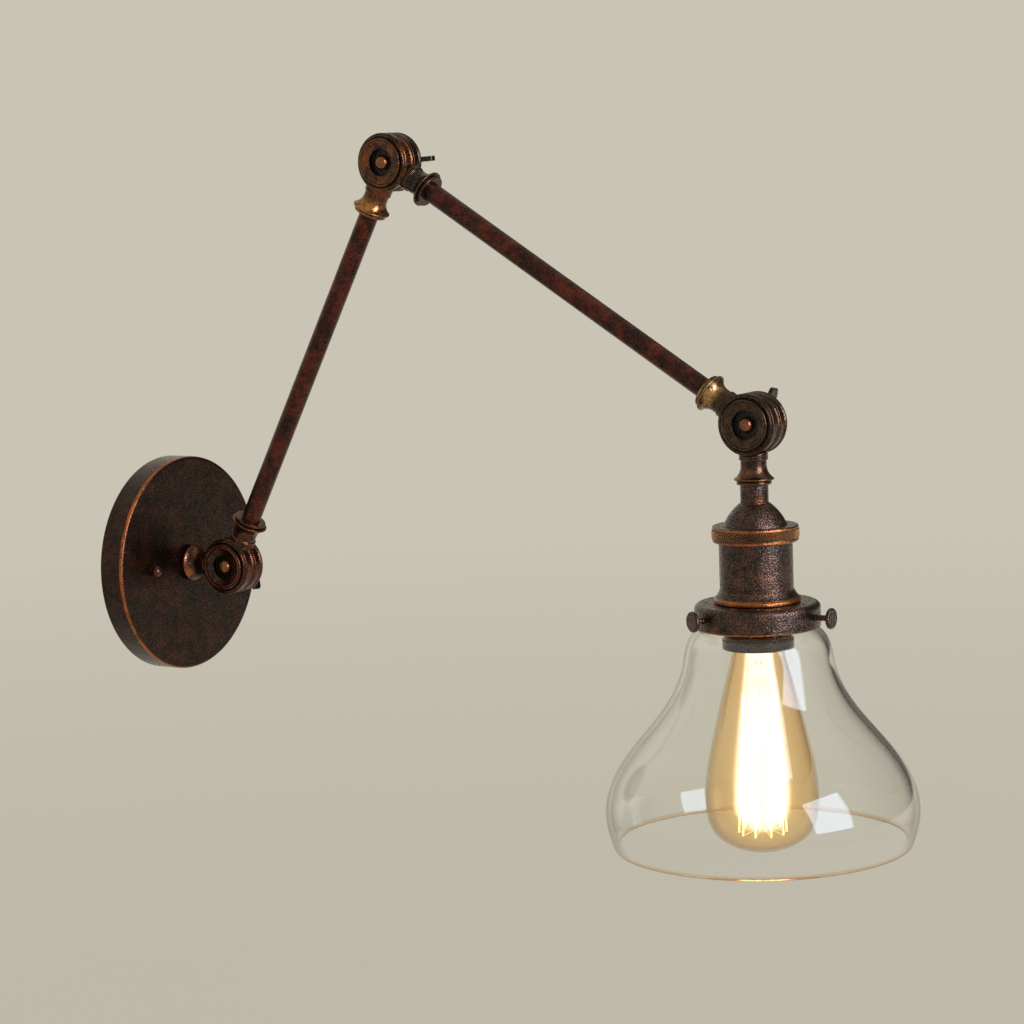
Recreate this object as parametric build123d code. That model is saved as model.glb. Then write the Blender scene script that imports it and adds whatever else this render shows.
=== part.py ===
from build123d import *
import os
from math import cos, radians, sin

# A wall lamp on two swinging arms. Three turned knuckle joints with parallel pivots carry a
# hanging lampholder, a clear glass bell and a pear-shaped filament bulb.
#
# Frame: the origin is the centre of the canopy's wall face, +Y goes into the wall, -Y into
# the room, +Z is up and +X is to the right of someone who faces the wall. Millimetres and
# degrees. A direction across the pivots is an angle about +X, counted from straight up
# towards the room: 0 is up, 90 is straight out of the wall and 180 is straight down.

# ---- posture ----
ARM_LENGTH = 250.0  # pivot to pivot, both arms
LOWER_ARM_ANGLE = 28.2  # from the base pivot to the elbow
UPPER_ARM_ANGLE = 122.4  # from the elbow to the head pivot
HEAD_ANGLE = 180.0  # the lampholder hangs straight down

# ---- fits ----
RUNNING = 0.05  # radial play of a shaft or thread in its hole
SLIP = 0.25  # radial play of a part that is slid in and clamped
ROTOR_GAP = 0.3  # between a neck and the half barrel that turns past it

# ---- knuckle: two turned half barrels clamped on a bolt along X ----
BARREL_RADIUS = 15.5
BARREL_HALF_WIDTH = 7.5
PARTING_GAP = 1.0
BEAD_WIDTH = 1.4
BEAD_HEIGHT = 0.5
FACE_BEAD_RADIUS = 14.3
FACE_BEAD_WIDTH = 0.9
FACE_BEAD_HEIGHT = 0.8
BOSS_RADIUS = 12.6
BOSS_HEIGHT = 2.5
DISH_RIM = 2.2
DISH_DEPTH = 1.3
RIM_GROOVE_DEPTH = 0.5
BOLT_HEAD_RECESS_RADIUS = 7.0
BOLT_HEAD_RECESS_DEPTH = 3.8
NUT_SEAT_RADIUS = 5.6
NUT_DISH_DEPTH = 0.9
CHAMBER_WALL = 3.2
CHAMBER_DEPTH = 2.8
HUB_RADIUS = 4.6
FRICTION_RING_INSET = 0.7

# ---- pivot bolt and wing nut ----
BOLT_RADIUS = 2.0
BOLT_HEAD_RADIUS = 4.1
BOLT_HEAD_HEIGHT = 4.2
SQUARE_NECK = 4.6
SQUARE_NECK_LENGTH = 1.6
BOLT_OVERHANG = 1.2
WASHER_RADIUS = 5.2
WASHER_THICKNESS = 0.8
WING_NUT_HUB_RADIUS = 4.6
WING_NUT_HUB_HEIGHT = 5.6
WING_SPAN = 33.0
WING_REACH = 9.0
WING_THICKNESS = 2.6
BASE_WING_ANGLE = 172.0
ELBOW_WING_ANGLE = 85.5
HEAD_WING_ANGLE = 12.0

# ---- turned neck that joins each half barrel to its arm, canopy or lampholder ----
NECK_LENGTH = 30.0  # pivot to the end of the neck
NECK_FOOT_RADIUS = 7.2
NECK_FOOT_LENGTH = 2.6  # how far the foot stands out of the barrel
NECK_WAIST_RADIUS = 6.5
NECK_RIM_RADIUS = 10.0
NECK_RIM_THICKNESS = 0.7
NECK_FLARE_LENGTH = 6.2
NECK_BEAD_RADIUS = 8.7
NECK_BEAD_LENGTH = 1.5
NECK_SOCKET_DEPTH = 6.6
WIRE_BORE_RADIUS = 3.0

# ---- arm tubes and threaded pipes ----
TUBE_RADIUS = 5.2
TUBE_SPIGOT_RADIUS = 5.0
TUBE_BORE_RADIUS = 3.8
PIPE_RADIUS = 5.0  # M10 x 1 all-thread
PIPE_BORE_RADIUS = 3.7

# ---- canopy and its fixings ----
CANOPY_RADIUS = 60.0
CANOPY_DEPTH = 15.0
CANOPY_WALL = 1.2
CANOPY_EDGE_RADIUS = 1.6
CROSSBAR_LENGTH = 104.0
CROSSBAR_WIDTH = 20.0
CROSSBAR_THICKNESS = 2.0
CROSSBAR_WIRE_HOLE_RADIUS = 6.5
BOX_SCREW_SPACING = 88.9  # 3-1/2 in ceiling and wall box
BOX_SLOT_WIDTH = 4.8
BOX_SLOT_LENGTH = 10.0
CANOPY_SCREW_SPACING = 70.0
STUD_RADIUS = 2.0
STUD_NUT_WIDTH = 7.0
STUD_NUT_HEIGHT = 3.2
CAP_NUT_RADIUS = 3.2
CAP_NUT_FOOT_RADIUS = 2.9
CAP_NUT_FOOT_HEIGHT = 0.9
CAP_NUT_THREAD_DEPTH = 2.5
EARTH_SCREW_OFFSET = 17.0
EARTH_SCREW_HEAD_RADIUS = 3.8
EARTH_SCREW_HEAD_HEIGHT = 2.2
PIPE_NUT_WIDTH = 14.0
PIPE_NUT_HEIGHT = 3.6
LOCK_WASHER_RADIUS = 8.5
LOCK_WASHER_THICKNESS = 0.8
BASE_PIPE_TAIL = 1.5

# ---- lampholder, measured down from the end of the head's neck ----
STUB_RADIUS = 7.0
STUB_LENGTH = 9.4
DOME_HEIGHT = 11.0
DOME_WALL = 1.5
CAP_FLANGE_PLAY = 0.5  # inside the knurled ring
CAP_FLANGE_WIDTH = 2.0  # beyond the dome
CAP_FLANGE_THICKNESS = 1.6
HEAD_NUT_WIDTH = 13.0
HEAD_PIPE_TAIL = 1.0
SET_SCREW_RADIUS = 1.5
SET_SCREW_DROP = 7.0  # below the neck's end
SET_SCREW_ANGLE = 40.0  # about the vertical, from the room side towards -X
SET_SCREW_PROUD = 0.4
KNURLED_RING_WALL = 3.0  # outside the body
KNURLED_RING_HEIGHT = 8.0
KNURLED_RING_PLATE = 1.5
KNURL_BAND_HEIGHT = 5.0
KNURL_BAND_RECESS = 0.25
BODY_WALL = 1.2
BODY_LENGTH = 29.4  # from the cap's flange to the foot of the straight part
SKIRT_HEIGHT = 4.0
SKIRT_FLARE = 3.35  # beyond the body
SKIRT_BEAD_HEIGHT = 2.0

# ---- gallery: the pressed collar that holds the glass ----
GALLERY_PLAY = 1.9  # round the lip of the glass
GALLERY_HEIGHT = 12.4
GALLERY_WALL = 1.2
GALLERY_SHOULDER = 3.0
VENT_COUNT = 12
VENT_RADIUS = 1.3
THUMB_BOSS_RADIUS = 3.0
THUMB_BOSS_LENGTH = 2.5

# ---- thumb screws ----
THUMB_SCREW_COUNT = 3
THUMB_SCREW_RADIUS = 1.5
THUMB_STAND_OUT = 5.2  # from the gallery to the head
THUMB_TIP_GAP = 0.7  # from the glass waist, so that the glass's flare stays clear
THUMB_HEAD_RADIUS = 5.2
THUMB_HEAD_THICKNESS = 2.0
THUMB_BACKED_OFF = 3.0  # the screw on the room side is less far in than the others

# ---- socket: its pieces fit round one another, from the bulb's base outwards ----
SLEEVE_WALL = 1.3
SLEEVE_TOP_DROP = 8.0  # below the cap's flange
SLEEVE_LENGTH = 50.4
THREAD_PITCH = 2.0
THREAD_DEPTH = 0.45
THREAD_TURNS_SHOWN = 2
SHADE_RING_WALL = 0.65
SHADE_RING_FLANGE_WIDTH = 2.4
SHADE_RING_FLANGE_HEIGHT = 2.0
SHADE_RING_LENGTH = 14.4
END_RING_WALL = 0.85
END_RING_HEIGHT = 4.4
INSERT_WALL = 1.3
INSERT_FLOOR = 5.0
INSERT_PLAY = 0.35  # round the screw shell
SCREW_SHELL_PLAY = 0.4  # round the bulb's base
SCREW_SHELL_WALL = 0.5
SCREW_SHELL_LENGTH = 26.0
SCREW_SHELL_STANDOFF = 6.0
CONTACT_WIDTH = 5.0
CONTACT_THICKNESS = 0.5
TERMINAL_SCREW_RADIUS = 1.6
TERMINAL_HEAD_RADIUS = 2.9
TERMINAL_HEAD_HEIGHT = 1.6
TERMINAL_OFFSET = 9.5

# ---- glass bell: outside points (radius, distance below the gallery's top) ----
SHADE_WALL = 2.4
SHADE_LIP_RADIUS = 28.3
SHADE_WAIST_RADIUS = 26.5
SHADE_SHOULDER_RADIUS = 33.0
SHADE_NECK_RADIUS = 38.0
SHADE_BELLY_RADIUS = 78.6
SHADE_RIM_RADIUS = 75.2
SHADE_LIP_DROP = 3.2
SHADE_SHOULDER_DROP = 16.0
SHADE_NECK_DROP = 31.5
SHADE_BELLY_DROP = 106.5
SHADE_RIM_DROP = 122.0

# ---- bulb ----
BULB_LENGTH = 143.0  # contact to tip
BULB_RADIUS = 28.5
BULB_BASE_RADIUS = 13.0
BULB_BASE_LENGTH = 23.5
BULB_BASE_WALL = 0.5
BULB_THREAD_PITCH = 3.6
BULB_THREAD_DEPTH = 0.4
BULB_THREAD_TURNS = 4
BULB_CONTACT_HEIGHT = 1.0
BULB_CONTACT_RADIUS = 4.8
BULB_INSULATOR_RADIUS = 8.0
BULB_INSULATOR_HEIGHT = 2.0
BULB_NECK_PLAY = 0.3  # for the cement between the glass and the base
BULB_NECK_IN_BASE = 6.0
BULB_GLASS_WALL = 0.9
STEM_RADIUS = 3.4
STEM_LENGTH = 24.0
STEM_ROD_RADIUS = 1.3
CAGE_TOP_RADIUS = 8.5
CAGE_FOOT_RADIUS = 12.0
CAGE_STEM_GAP = 15.1  # from the stem's stalk to the cage's top
CAGE_TIP_DROP = 10.0  # from the cage's foot to the bulb's tip
FILAMENT_STRANDS = 18
FILAMENT_RADIUS = 0.45
SUPPORT_WIRE_RADIUS = 0.35

# ---- values that follow from the sizes above ----
HALF_GAP = PARTING_GAP / 2
KNUCKLE_HALF = BARREL_HALF_WIDTH + BOSS_HEIGHT
BASE_PIVOT_OUT = CANOPY_DEPTH + NECK_LENGTH
NUT_SEAT_X = KNUCKLE_HALF + WASHER_THICKNESS + RUNNING
SOCKET_FLOOR = NECK_LENGTH - NECK_SOCKET_DEPTH

SCREW_SHELL_RADIUS = BULB_BASE_RADIUS + SCREW_SHELL_PLAY + SCREW_SHELL_WALL
INSERT_BORE = SCREW_SHELL_RADIUS + INSERT_PLAY
INSERT_RADIUS = INSERT_BORE + INSERT_WALL
SLEEVE_RADIUS = INSERT_RADIUS + RUNNING + SLEEVE_WALL
BODY_RADIUS = SLEEVE_RADIUS + SLIP + BODY_WALL
KNURLED_RING_RADIUS = BODY_RADIUS + RUNNING + KNURLED_RING_WALL
CAP_FLANGE_RADIUS = BODY_RADIUS + RUNNING - CAP_FLANGE_PLAY
DOME_RADIUS = CAP_FLANGE_RADIUS - CAP_FLANGE_WIDTH
SKIRT_RADIUS = BODY_RADIUS + SKIRT_FLARE
SHADE_RING_RADIUS = SLEEVE_RADIUS + RUNNING + SHADE_RING_WALL
SHADE_RING_FLANGE_RADIUS = SHADE_RING_RADIUS + SHADE_RING_FLANGE_WIDTH
END_RING_RADIUS = SLEEVE_RADIUS + RUNNING + END_RING_WALL
GALLERY_BORE = SLEEVE_RADIUS + RUNNING
GALLERY_RADIUS = SHADE_LIP_RADIUS + GALLERY_PLAY + GALLERY_WALL
VENT_CIRCLE_RADIUS = (SKIRT_RADIUS + GALLERY_RADIUS - GALLERY_SHOULDER) / 2
THUMB_TIP = SHADE_WAIST_RADIUS + THUMB_TIP_GAP
THUMB_SHANK_LENGTH = GALLERY_RADIUS + THUMB_STAND_OUT - THUMB_TIP
BULB_NECK_RADIUS = BULB_BASE_RADIUS - BULB_BASE_WALL - BULB_NECK_PLAY

STUB_END = NECK_LENGTH + STUB_LENGTH
DOME_END = STUB_END + DOME_HEIGHT
FLANGE_TOP = DOME_END + KNURLED_RING_PLATE
FLANGE_END = FLANGE_TOP + CAP_FLANGE_THICKNESS
BODY_END = FLANGE_END + BODY_LENGTH
GALLERY_TOP = BODY_END + SKIRT_HEIGHT + SKIRT_BEAD_HEIGHT
GALLERY_END = GALLERY_TOP + GALLERY_HEIGHT
SLEEVE_TOP = FLANGE_END + SLEEVE_TOP_DROP
SLEEVE_END = SLEEVE_TOP + SLEEVE_LENGTH
SHADE_RING_TOP = GALLERY_TOP + GALLERY_WALL
END_RING_TOP = SLEEVE_END - END_RING_HEIGHT
SHELL_TOP = SLEEVE_TOP + INSERT_FLOOR + SCREW_SHELL_STANDOFF
THUMB_DROP = GALLERY_HEIGHT / 2
THUMB_LEVEL = GALLERY_TOP + THUMB_DROP
BULB_CONTACT_TOP = SHELL_TOP + 2 * ROTOR_GAP
BULB_INSULATOR_TOP = BULB_CONTACT_TOP + BULB_CONTACT_HEIGHT
BULB_BASE_TOP = BULB_INSULATOR_TOP + BULB_INSULATOR_HEIGHT
BULB_GLASS_TOP = BULB_BASE_TOP + BULB_BASE_LENGTH - BULB_NECK_IN_BASE
BULB_TIP = BULB_CONTACT_TOP + BULB_LENGTH
CAGE_TOP = BULB_GLASS_TOP + STEM_LENGTH + STEM_RADIUS + CAGE_STEM_GAP
CAGE_FOOT = BULB_TIP - CAGE_TIP_DROP
CAGE_HEIGHT = CAGE_FOOT - CAGE_TOP


def pivot_after(pivot, angle):
    """The pivot one arm length away from another, in the given direction."""
    y = pivot[0] - ARM_LENGTH * sin(radians(angle))
    z = pivot[1] + ARM_LENGTH * cos(radians(angle))
    return y, z


BASE_PIVOT = (-BASE_PIVOT_OUT, 0.0)
ELBOW_PIVOT = pivot_after(BASE_PIVOT, LOWER_ARM_ANGLE)
HEAD_PIVOT = pivot_after(ELBOW_PIVOT, UPPER_ARM_ANGLE)


def placed(part, pivot, angle):
    """Turn a part modelled up the Z axis into a direction, with its origin at a pivot."""
    return Pos(0, pivot[0], pivot[1]) * Rot(angle, 0, 0) * part


def turned(corners):
    """A lathe-turned solid about Z. Each corner is (radius, height, fillet radius)."""
    points = [(radius, 0, height) for radius, height, _ in corners]
    fillets = [fillet for _, _, fillet in corners]
    outline = FilletPolyline(*points, radius=fillets, close=True)
    return revolve(make_face(outline.edges()), Axis.Z)


def ring(outer, inner, bottom, top, edge=0.0):
    """A plain ring about Z, with its outer edges rounded."""
    return turned([(inner, bottom, 0), (outer, bottom, edge), (outer, top, edge), (inner, top, 0)])


def rod(radius, bottom, top, edge=0.0):
    """A plain round bar along Z, with its ends rounded."""
    return turned([(0, bottom, 0), (radius, bottom, edge), (radius, top, edge), (0, top, 0)])


def hex_nut(width, bottom, top, bore):
    """A hexagon nut about Z."""
    blank = Pos(0, 0, bottom) * extrude(RegularPolygon(width / 2, 6, major_radius=False), top - bottom)
    return blank - rod(bore, bottom - 1, top + 1)


def towards(side, part):
    """Turn a part made along +Z onto the pivot axis: side -1 is -X and +1 is +X."""
    return Rot(0, 90 * side, 0) * part


# ---- knuckle ----


def half_barrel(side):
    """One turned half of a knuckle, hollow inside so that the wires pass round the bolt."""
    lip_end = HALF_GAP + BEAD_WIDTH / 2
    bead_top = BARREL_HALF_WIDTH + FACE_BEAD_HEIGHT
    blank = turned([
        (0, HALF_GAP, 0),
        (BARREL_RADIUS, HALF_GAP, 0.2),
        (BARREL_RADIUS, lip_end, 0.2),
        (BARREL_RADIUS - BEAD_HEIGHT, lip_end + BEAD_HEIGHT, 0),
        (BARREL_RADIUS - BEAD_HEIGHT, BARREL_HALF_WIDTH - BEAD_WIDTH - BEAD_HEIGHT, 0),
        (BARREL_RADIUS, BARREL_HALF_WIDTH - BEAD_WIDTH, 0.2),
        (BARREL_RADIUS, BARREL_HALF_WIDTH, 0.6),
        (FACE_BEAD_RADIUS, BARREL_HALF_WIDTH, 0),
        (FACE_BEAD_RADIUS, bead_top, 0.3),
        (FACE_BEAD_RADIUS - FACE_BEAD_WIDTH, bead_top, 0.3),
        (FACE_BEAD_RADIUS - FACE_BEAD_WIDTH, BARREL_HALF_WIDTH, 0),
        (BOSS_RADIUS, BARREL_HALF_WIDTH, 0),
        (BOSS_RADIUS, KNUCKLE_HALF, 0.7),
        (0, KNUCKLE_HALF, 0),
    ])
    chamber_outer = BARREL_RADIUS - CHAMBER_WALL
    blank -= ring(chamber_outer, HUB_RADIUS, HALF_GAP - 1, HALF_GAP + CHAMBER_DEPTH)
    dish_radius = BOSS_RADIUS - DISH_RIM
    groove_radius = BOSS_RADIUS - DISH_RIM / 2
    blank -= turned([
        (groove_radius, KNUCKLE_HALF - RIM_GROOVE_DEPTH, 0),
        (groove_radius - RIM_GROOVE_DEPTH, KNUCKLE_HALF + 0.1, 0),
        (groove_radius + RIM_GROOVE_DEPTH, KNUCKLE_HALF + 0.1, 0),
    ])
    if side < 0:
        floor = KNUCKLE_HALF - BOLT_HEAD_RECESS_DEPTH
        blank -= turned([
            (0, floor, 0),
            (BOLT_HEAD_RECESS_RADIUS, floor, 0.3),
            (BOLT_HEAD_RECESS_RADIUS, KNUCKLE_HALF - DISH_DEPTH, 0.4),
            (dish_radius, KNUCKLE_HALF, 0),
            (dish_radius, KNUCKLE_HALF + 1, 0),
            (0, KNUCKLE_HALF + 1, 0),
        ])
        square = 2 * RUNNING + SQUARE_NECK
        blank -= Pos(0, 0, floor - SQUARE_NECK_LENGTH / 2) * Box(square, square, SQUARE_NECK_LENGTH)
    else:
        blank -= turned([
            (NUT_SEAT_RADIUS, KNUCKLE_HALF + 1, 0),
            (NUT_SEAT_RADIUS, KNUCKLE_HALF - NUT_DISH_DEPTH, 0.3),
            (dish_radius - NUT_DISH_DEPTH, KNUCKLE_HALF - NUT_DISH_DEPTH, 0.3),
            (dish_radius, KNUCKLE_HALF, 0),
            (dish_radius, KNUCKLE_HALF + 1, 0),
        ])
    blank -= rod(BOLT_RADIUS + RUNNING, HALF_GAP - 1, KNUCKLE_HALF + 1)
    return towards(side, blank)


def neck_blank():
    """The turned neck: a short foot, a waist flaring to a sharp rim, and a bead."""
    foot_end = BARREL_RADIUS + NECK_FOOT_LENGTH
    rim_start = NECK_LENGTH - NECK_BEAD_LENGTH - 2 * NECK_RIM_THICKNESS
    waist_end = rim_start - NECK_FLARE_LENGTH
    bead_start = NECK_LENGTH - NECK_BEAD_LENGTH
    groove_radius = NECK_BEAD_RADIUS - 0.5
    foot = Polyline(
        (0, 0, BARREL_RADIUS / 2),
        (NECK_FOOT_RADIUS, 0, BARREL_RADIUS / 2),
        (NECK_FOOT_RADIUS, 0, foot_end - 0.3),
        (NECK_WAIST_RADIUS, 0, foot_end),
        (NECK_WAIST_RADIUS, 0, waist_end),
    )
    flare = TangentArc(foot @ 1, (NECK_RIM_RADIUS, 0, rim_start), tangent=(0, 0, 1))
    end = FilletPolyline(
        flare @ 1,
        (NECK_RIM_RADIUS, 0, rim_start + NECK_RIM_THICKNESS),
        (groove_radius, 0, bead_start - NECK_RIM_THICKNESS / 2),
        (groove_radius, 0, bead_start),
        (NECK_BEAD_RADIUS, 0, bead_start),
        (NECK_BEAD_RADIUS, 0, NECK_LENGTH),
        (0, 0, NECK_LENGTH),
        foot @ 0,
        radius=[0.2, 0, 0, 0.3, 0.3, 0],
    )
    return revolve(make_face([*foot.edges(), flare.edge(), *end.edges()]), Axis.Z)


def swivel_half(side):
    """A half barrel with its neck along +Z, bored for the wires and for a threaded tube end."""
    reach = 2 * KNUCKLE_HALF
    swept_by_other_half = towards(-side, rod(BARREL_RADIUS + ROTOR_GAP, -HALF_GAP, reach))
    chamber = towards(side, rod(BARREL_RADIUS - CHAMBER_WALL, HALF_GAP, HALF_GAP + CHAMBER_DEPTH))
    neck = neck_blank() - swept_by_other_half - chamber
    casting = half_barrel(side) + neck
    casting -= rod(WIRE_BORE_RADIUS, BARREL_RADIUS - CHAMBER_WALL - 1, NECK_LENGTH + 1)
    casting -= rod(TUBE_SPIGOT_RADIUS + RUNNING, SOCKET_FLOOR, NECK_LENGTH + 1)
    return casting


def friction_ring():
    """A fibre ring between the two half barrels, lying against the back half."""
    outer = BARREL_RADIUS - FRICTION_RING_INSET
    return towards(1, ring(outer, BARREL_RADIUS - CHAMBER_WALL, RUNNING - HALF_GAP, HALF_GAP))


def pivot_bolt():
    """A dome-headed bolt along the pivot, kept from turning by its square neck."""
    head_seat = KNUCKLE_HALF - BOLT_HEAD_RECESS_DEPTH
    thread_end = NUT_SEAT_X + WING_NUT_HUB_HEIGHT + BOLT_OVERHANG
    edge = (BOLT_HEAD_RADIUS, 0, head_seat + 0.5)
    crown = (0, 0, head_seat + BOLT_HEAD_HEIGHT)
    base = Polyline(crown, (0, 0, head_seat), (BOLT_HEAD_RADIUS, 0, head_seat), edge)
    dome = TangentArc(crown, edge, tangent=(1, 0, 0))
    head = revolve(make_face([*base.edges(), dome.edge()]), Axis.Z)
    head += Pos(0, 0, head_seat - SQUARE_NECK_LENGTH / 2) * Box(SQUARE_NECK, SQUARE_NECK, SQUARE_NECK_LENGTH)
    shank = rod(BOLT_RADIUS, -thread_end, head_seat, 0.4)
    return towards(-1, head + shank)


def nut_washer():
    """A plain steel washer between the back half barrel and the wing nut."""
    washer = ring(WASHER_RADIUS, BOLT_RADIUS + SLIP, KNUCKLE_HALF, KNUCKLE_HALF + WASHER_THICKNESS)
    return towards(1, washer)


def wing_nut():
    """A cast wing nut on the pivot axis, with its two wings along +Z and -Z."""
    hub = turned([
        (0, 0, 0),
        (WING_NUT_HUB_RADIUS, 0, 0.3),
        (WING_NUT_HUB_RADIUS - 0.8, WING_NUT_HUB_HEIGHT, 0.6),
        (0, WING_NUT_HUB_HEIGHT, 0),
    ])
    root = WING_NUT_HUB_RADIUS - 2
    tip = WING_SPAN / 2
    outline = FilletPolyline(
        (root, 0.6),
        (tip - 5.5, 1.2),
        (tip, WING_REACH - 4.2),
        (tip, WING_REACH),
        (tip - 4.6, WING_REACH),
        (root, WING_NUT_HUB_HEIGHT - 0.8),
        radius=[0, 4, 2, 2, 3.5, 0],
        close=True,
    )
    wing = Rot(90, 0, 0) * extrude(make_face(outline.edges()), WING_THICKNESS / 2, both=True)
    nut = hub + wing + Rot(0, 0, 180) * wing
    nut -= rod(BOLT_RADIUS + RUNNING, -1, WING_NUT_HUB_HEIGHT + 1)
    return Pos(NUT_SEAT_X, 0, 0) * towards(1, nut)


def arm_tube():
    """A straight steel tube whose turned-down ends screw into the necks."""
    length = ARM_LENGTH - 2 * SOCKET_FLOOR
    shoulder = NECK_SOCKET_DEPTH
    tube = turned([
        (0, 0, 0),
        (TUBE_SPIGOT_RADIUS, 0, 0.3),
        (TUBE_SPIGOT_RADIUS, shoulder, 0),
        (TUBE_RADIUS, shoulder, 0),
        (TUBE_RADIUS, length - shoulder, 0),
        (TUBE_SPIGOT_RADIUS, length - shoulder, 0),
        (TUBE_SPIGOT_RADIUS, length, 0.3),
        (0, length, 0),
    ])
    tube -= rod(TUBE_BORE_RADIUS, -1, length + 1)
    return Pos(0, 0, SOCKET_FLOOR) * tube


# ---- wall mount: modelled with +Z out of the wall, then laid along -Y ----


def out_of_wall(part):
    return Rot(90, 0, 0) * part


def canopy():
    """A spun pan with a sharp front edge, open at the back, with three holes in its face."""
    inside = CANOPY_RADIUS - CANOPY_WALL
    face_back = CANOPY_DEPTH - CANOPY_WALL
    pan = turned([
        (0, face_back, 0),
        (inside, face_back, 0.6),
        (inside, 0, 0),
        (CANOPY_RADIUS, 0, 0),
        (CANOPY_RADIUS, CANOPY_DEPTH, CANOPY_EDGE_RADIUS),
        (0, CANOPY_DEPTH, 0),
    ])
    pan -= rod(PIPE_RADIUS + SLIP, 0, CANOPY_DEPTH + 1)
    for x in (-CANOPY_SCREW_SPACING / 2, CANOPY_SCREW_SPACING / 2):
        pan -= Pos(x, 0, 0) * rod(STUD_RADIUS + SLIP, 0, CANOPY_DEPTH + 1)
    return out_of_wall(pan)


def crossbar():
    """The steel strap that is screwed to the wall box and carries the canopy's studs."""
    flat = SlotOverall(CROSSBAR_LENGTH, CROSSBAR_WIDTH)
    flat -= Circle(CROSSBAR_WIRE_HOLE_RADIUS)
    flat -= Pos(EARTH_SCREW_OFFSET, 0) * Circle(STUD_RADIUS + RUNNING)
    for side in (-1, 1):
        flat -= Pos(side * BOX_SCREW_SPACING / 2, 0) * SlotOverall(BOX_SLOT_LENGTH, BOX_SLOT_WIDTH)
        flat -= Pos(side * CANOPY_SCREW_SPACING / 2, 0) * Circle(STUD_RADIUS + RUNNING)
    return out_of_wall(extrude(flat, CROSSBAR_THICKNESS))


def canopy_studs():
    """Two machine screws that stand out of the crossbar and through the canopy's face."""
    end = CANOPY_DEPTH + CAP_NUT_THREAD_DEPTH
    return [
        out_of_wall(Pos(side * CANOPY_SCREW_SPACING / 2, 0, 0) * rod(STUD_RADIUS, 0, end, 0.3))
        for side in (-1, 1)
    ]


def stud_nuts():
    """The hexagon nuts that lock the studs to the crossbar."""
    top = CROSSBAR_THICKNESS + STUD_NUT_HEIGHT
    nut = hex_nut(STUD_NUT_WIDTH, CROSSBAR_THICKNESS, top, STUD_RADIUS + RUNNING)
    return [out_of_wall(Pos(side * CANOPY_SCREW_SPACING / 2, 0, 0) * nut) for side in (-1, 1)]


def canopy_cap_nuts():
    """The two small ball-shaped nuts that hold the canopy against the wall."""
    ball_centre = CAP_NUT_FOOT_HEIGHT + CAP_NUT_RADIUS * 0.8
    nut = rod(CAP_NUT_FOOT_RADIUS, 0, ball_centre) + Pos(0, 0, ball_centre) * Sphere(CAP_NUT_RADIUS)
    nut -= rod(STUD_RADIUS + RUNNING, -1, CAP_NUT_THREAD_DEPTH + ROTOR_GAP)
    return [
        out_of_wall(Pos(side * CANOPY_SCREW_SPACING / 2, 0, CANOPY_DEPTH) * nut)
        for side in (-1, 1)
    ]


def earth_screw():
    """The slotted washer-head screw for the earth wire, in the crossbar."""
    head_top = CROSSBAR_THICKNESS + EARTH_SCREW_HEAD_HEIGHT
    screw = rod(STUD_RADIUS, 0, CROSSBAR_THICKNESS + 0.5)
    screw += rod(EARTH_SCREW_HEAD_RADIUS, CROSSBAR_THICKNESS, head_top, 0.5)
    screw -= Pos(0, 0, head_top) * Box(2 * EARTH_SCREW_HEAD_RADIUS, 0.9, 1.6)
    return out_of_wall(Pos(EARTH_SCREW_OFFSET, 0, 0) * screw)


def base_pipe():
    """The hollow threaded pipe that ties the wall neck to the canopy and passes the wires."""
    inner_end = CANOPY_DEPTH - CANOPY_WALL - LOCK_WASHER_THICKNESS - PIPE_NUT_HEIGHT - BASE_PIPE_TAIL
    pipe = ring(PIPE_RADIUS, PIPE_BORE_RADIUS, inner_end, CANOPY_DEPTH + NECK_SOCKET_DEPTH, 0.4)
    return out_of_wall(pipe)


def base_lock_washer():
    """The washer between the canopy's face and the pipe nut."""
    top = CANOPY_DEPTH - CANOPY_WALL
    return out_of_wall(ring(LOCK_WASHER_RADIUS, PIPE_RADIUS + RUNNING, top - LOCK_WASHER_THICKNESS, top))


def base_pipe_nut():
    """The hexagon nut behind the canopy's face."""
    top = CANOPY_DEPTH - CANOPY_WALL - LOCK_WASHER_THICKNESS
    return out_of_wall(hex_nut(PIPE_NUT_WIDTH, top - PIPE_NUT_HEIGHT, top, PIPE_RADIUS + RUNNING))


# ---- lampholder: modelled with +Z down from the head pivot ----


def arc_through(start, middle, end):
    """An arc in the turning plane through three (radius, height) points."""
    return ThreePointArc(*[(radius, 0, height) for radius, height in (start, middle, end)])


def holder_cap():
    """The domed cap with its stub, clamped under the knurled ring by its flange."""
    nut_seat = STUB_END + DOME_HEIGHT * 0.42
    dome = arc_through(
        (STUB_RADIUS + 0.5, STUB_END),
        (STUB_RADIUS + (DOME_RADIUS - STUB_RADIUS) * 0.56, STUB_END + DOME_HEIGHT * 0.4),
        (DOME_RADIUS, DOME_END),
    )
    outside = Polyline(
        dome @ 1,
        (DOME_RADIUS, 0, FLANGE_TOP),
        (CAP_FLANGE_RADIUS, 0, FLANGE_TOP),
        (CAP_FLANGE_RADIUS, 0, FLANGE_END),
        (DOME_RADIUS - DOME_WALL, 0, FLANGE_END),
        (DOME_RADIUS - DOME_WALL, 0, DOME_END),
        (HEAD_NUT_WIDTH / 2 + 2, 0, nut_seat),
        (PIPE_RADIUS + RUNNING, 0, nut_seat),
        (PIPE_RADIUS + RUNNING, 0, NECK_LENGTH),
        (STUB_RADIUS, 0, NECK_LENGTH),
        (STUB_RADIUS, 0, STUB_END),
        dome @ 0,
    )
    cap = revolve(make_face([dome.edge(), *outside.edges()]), Axis.Z)
    return cap - at_set_screw(rod(SET_SCREW_RADIUS + RUNNING, 0, STUB_RADIUS + 1))


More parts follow.
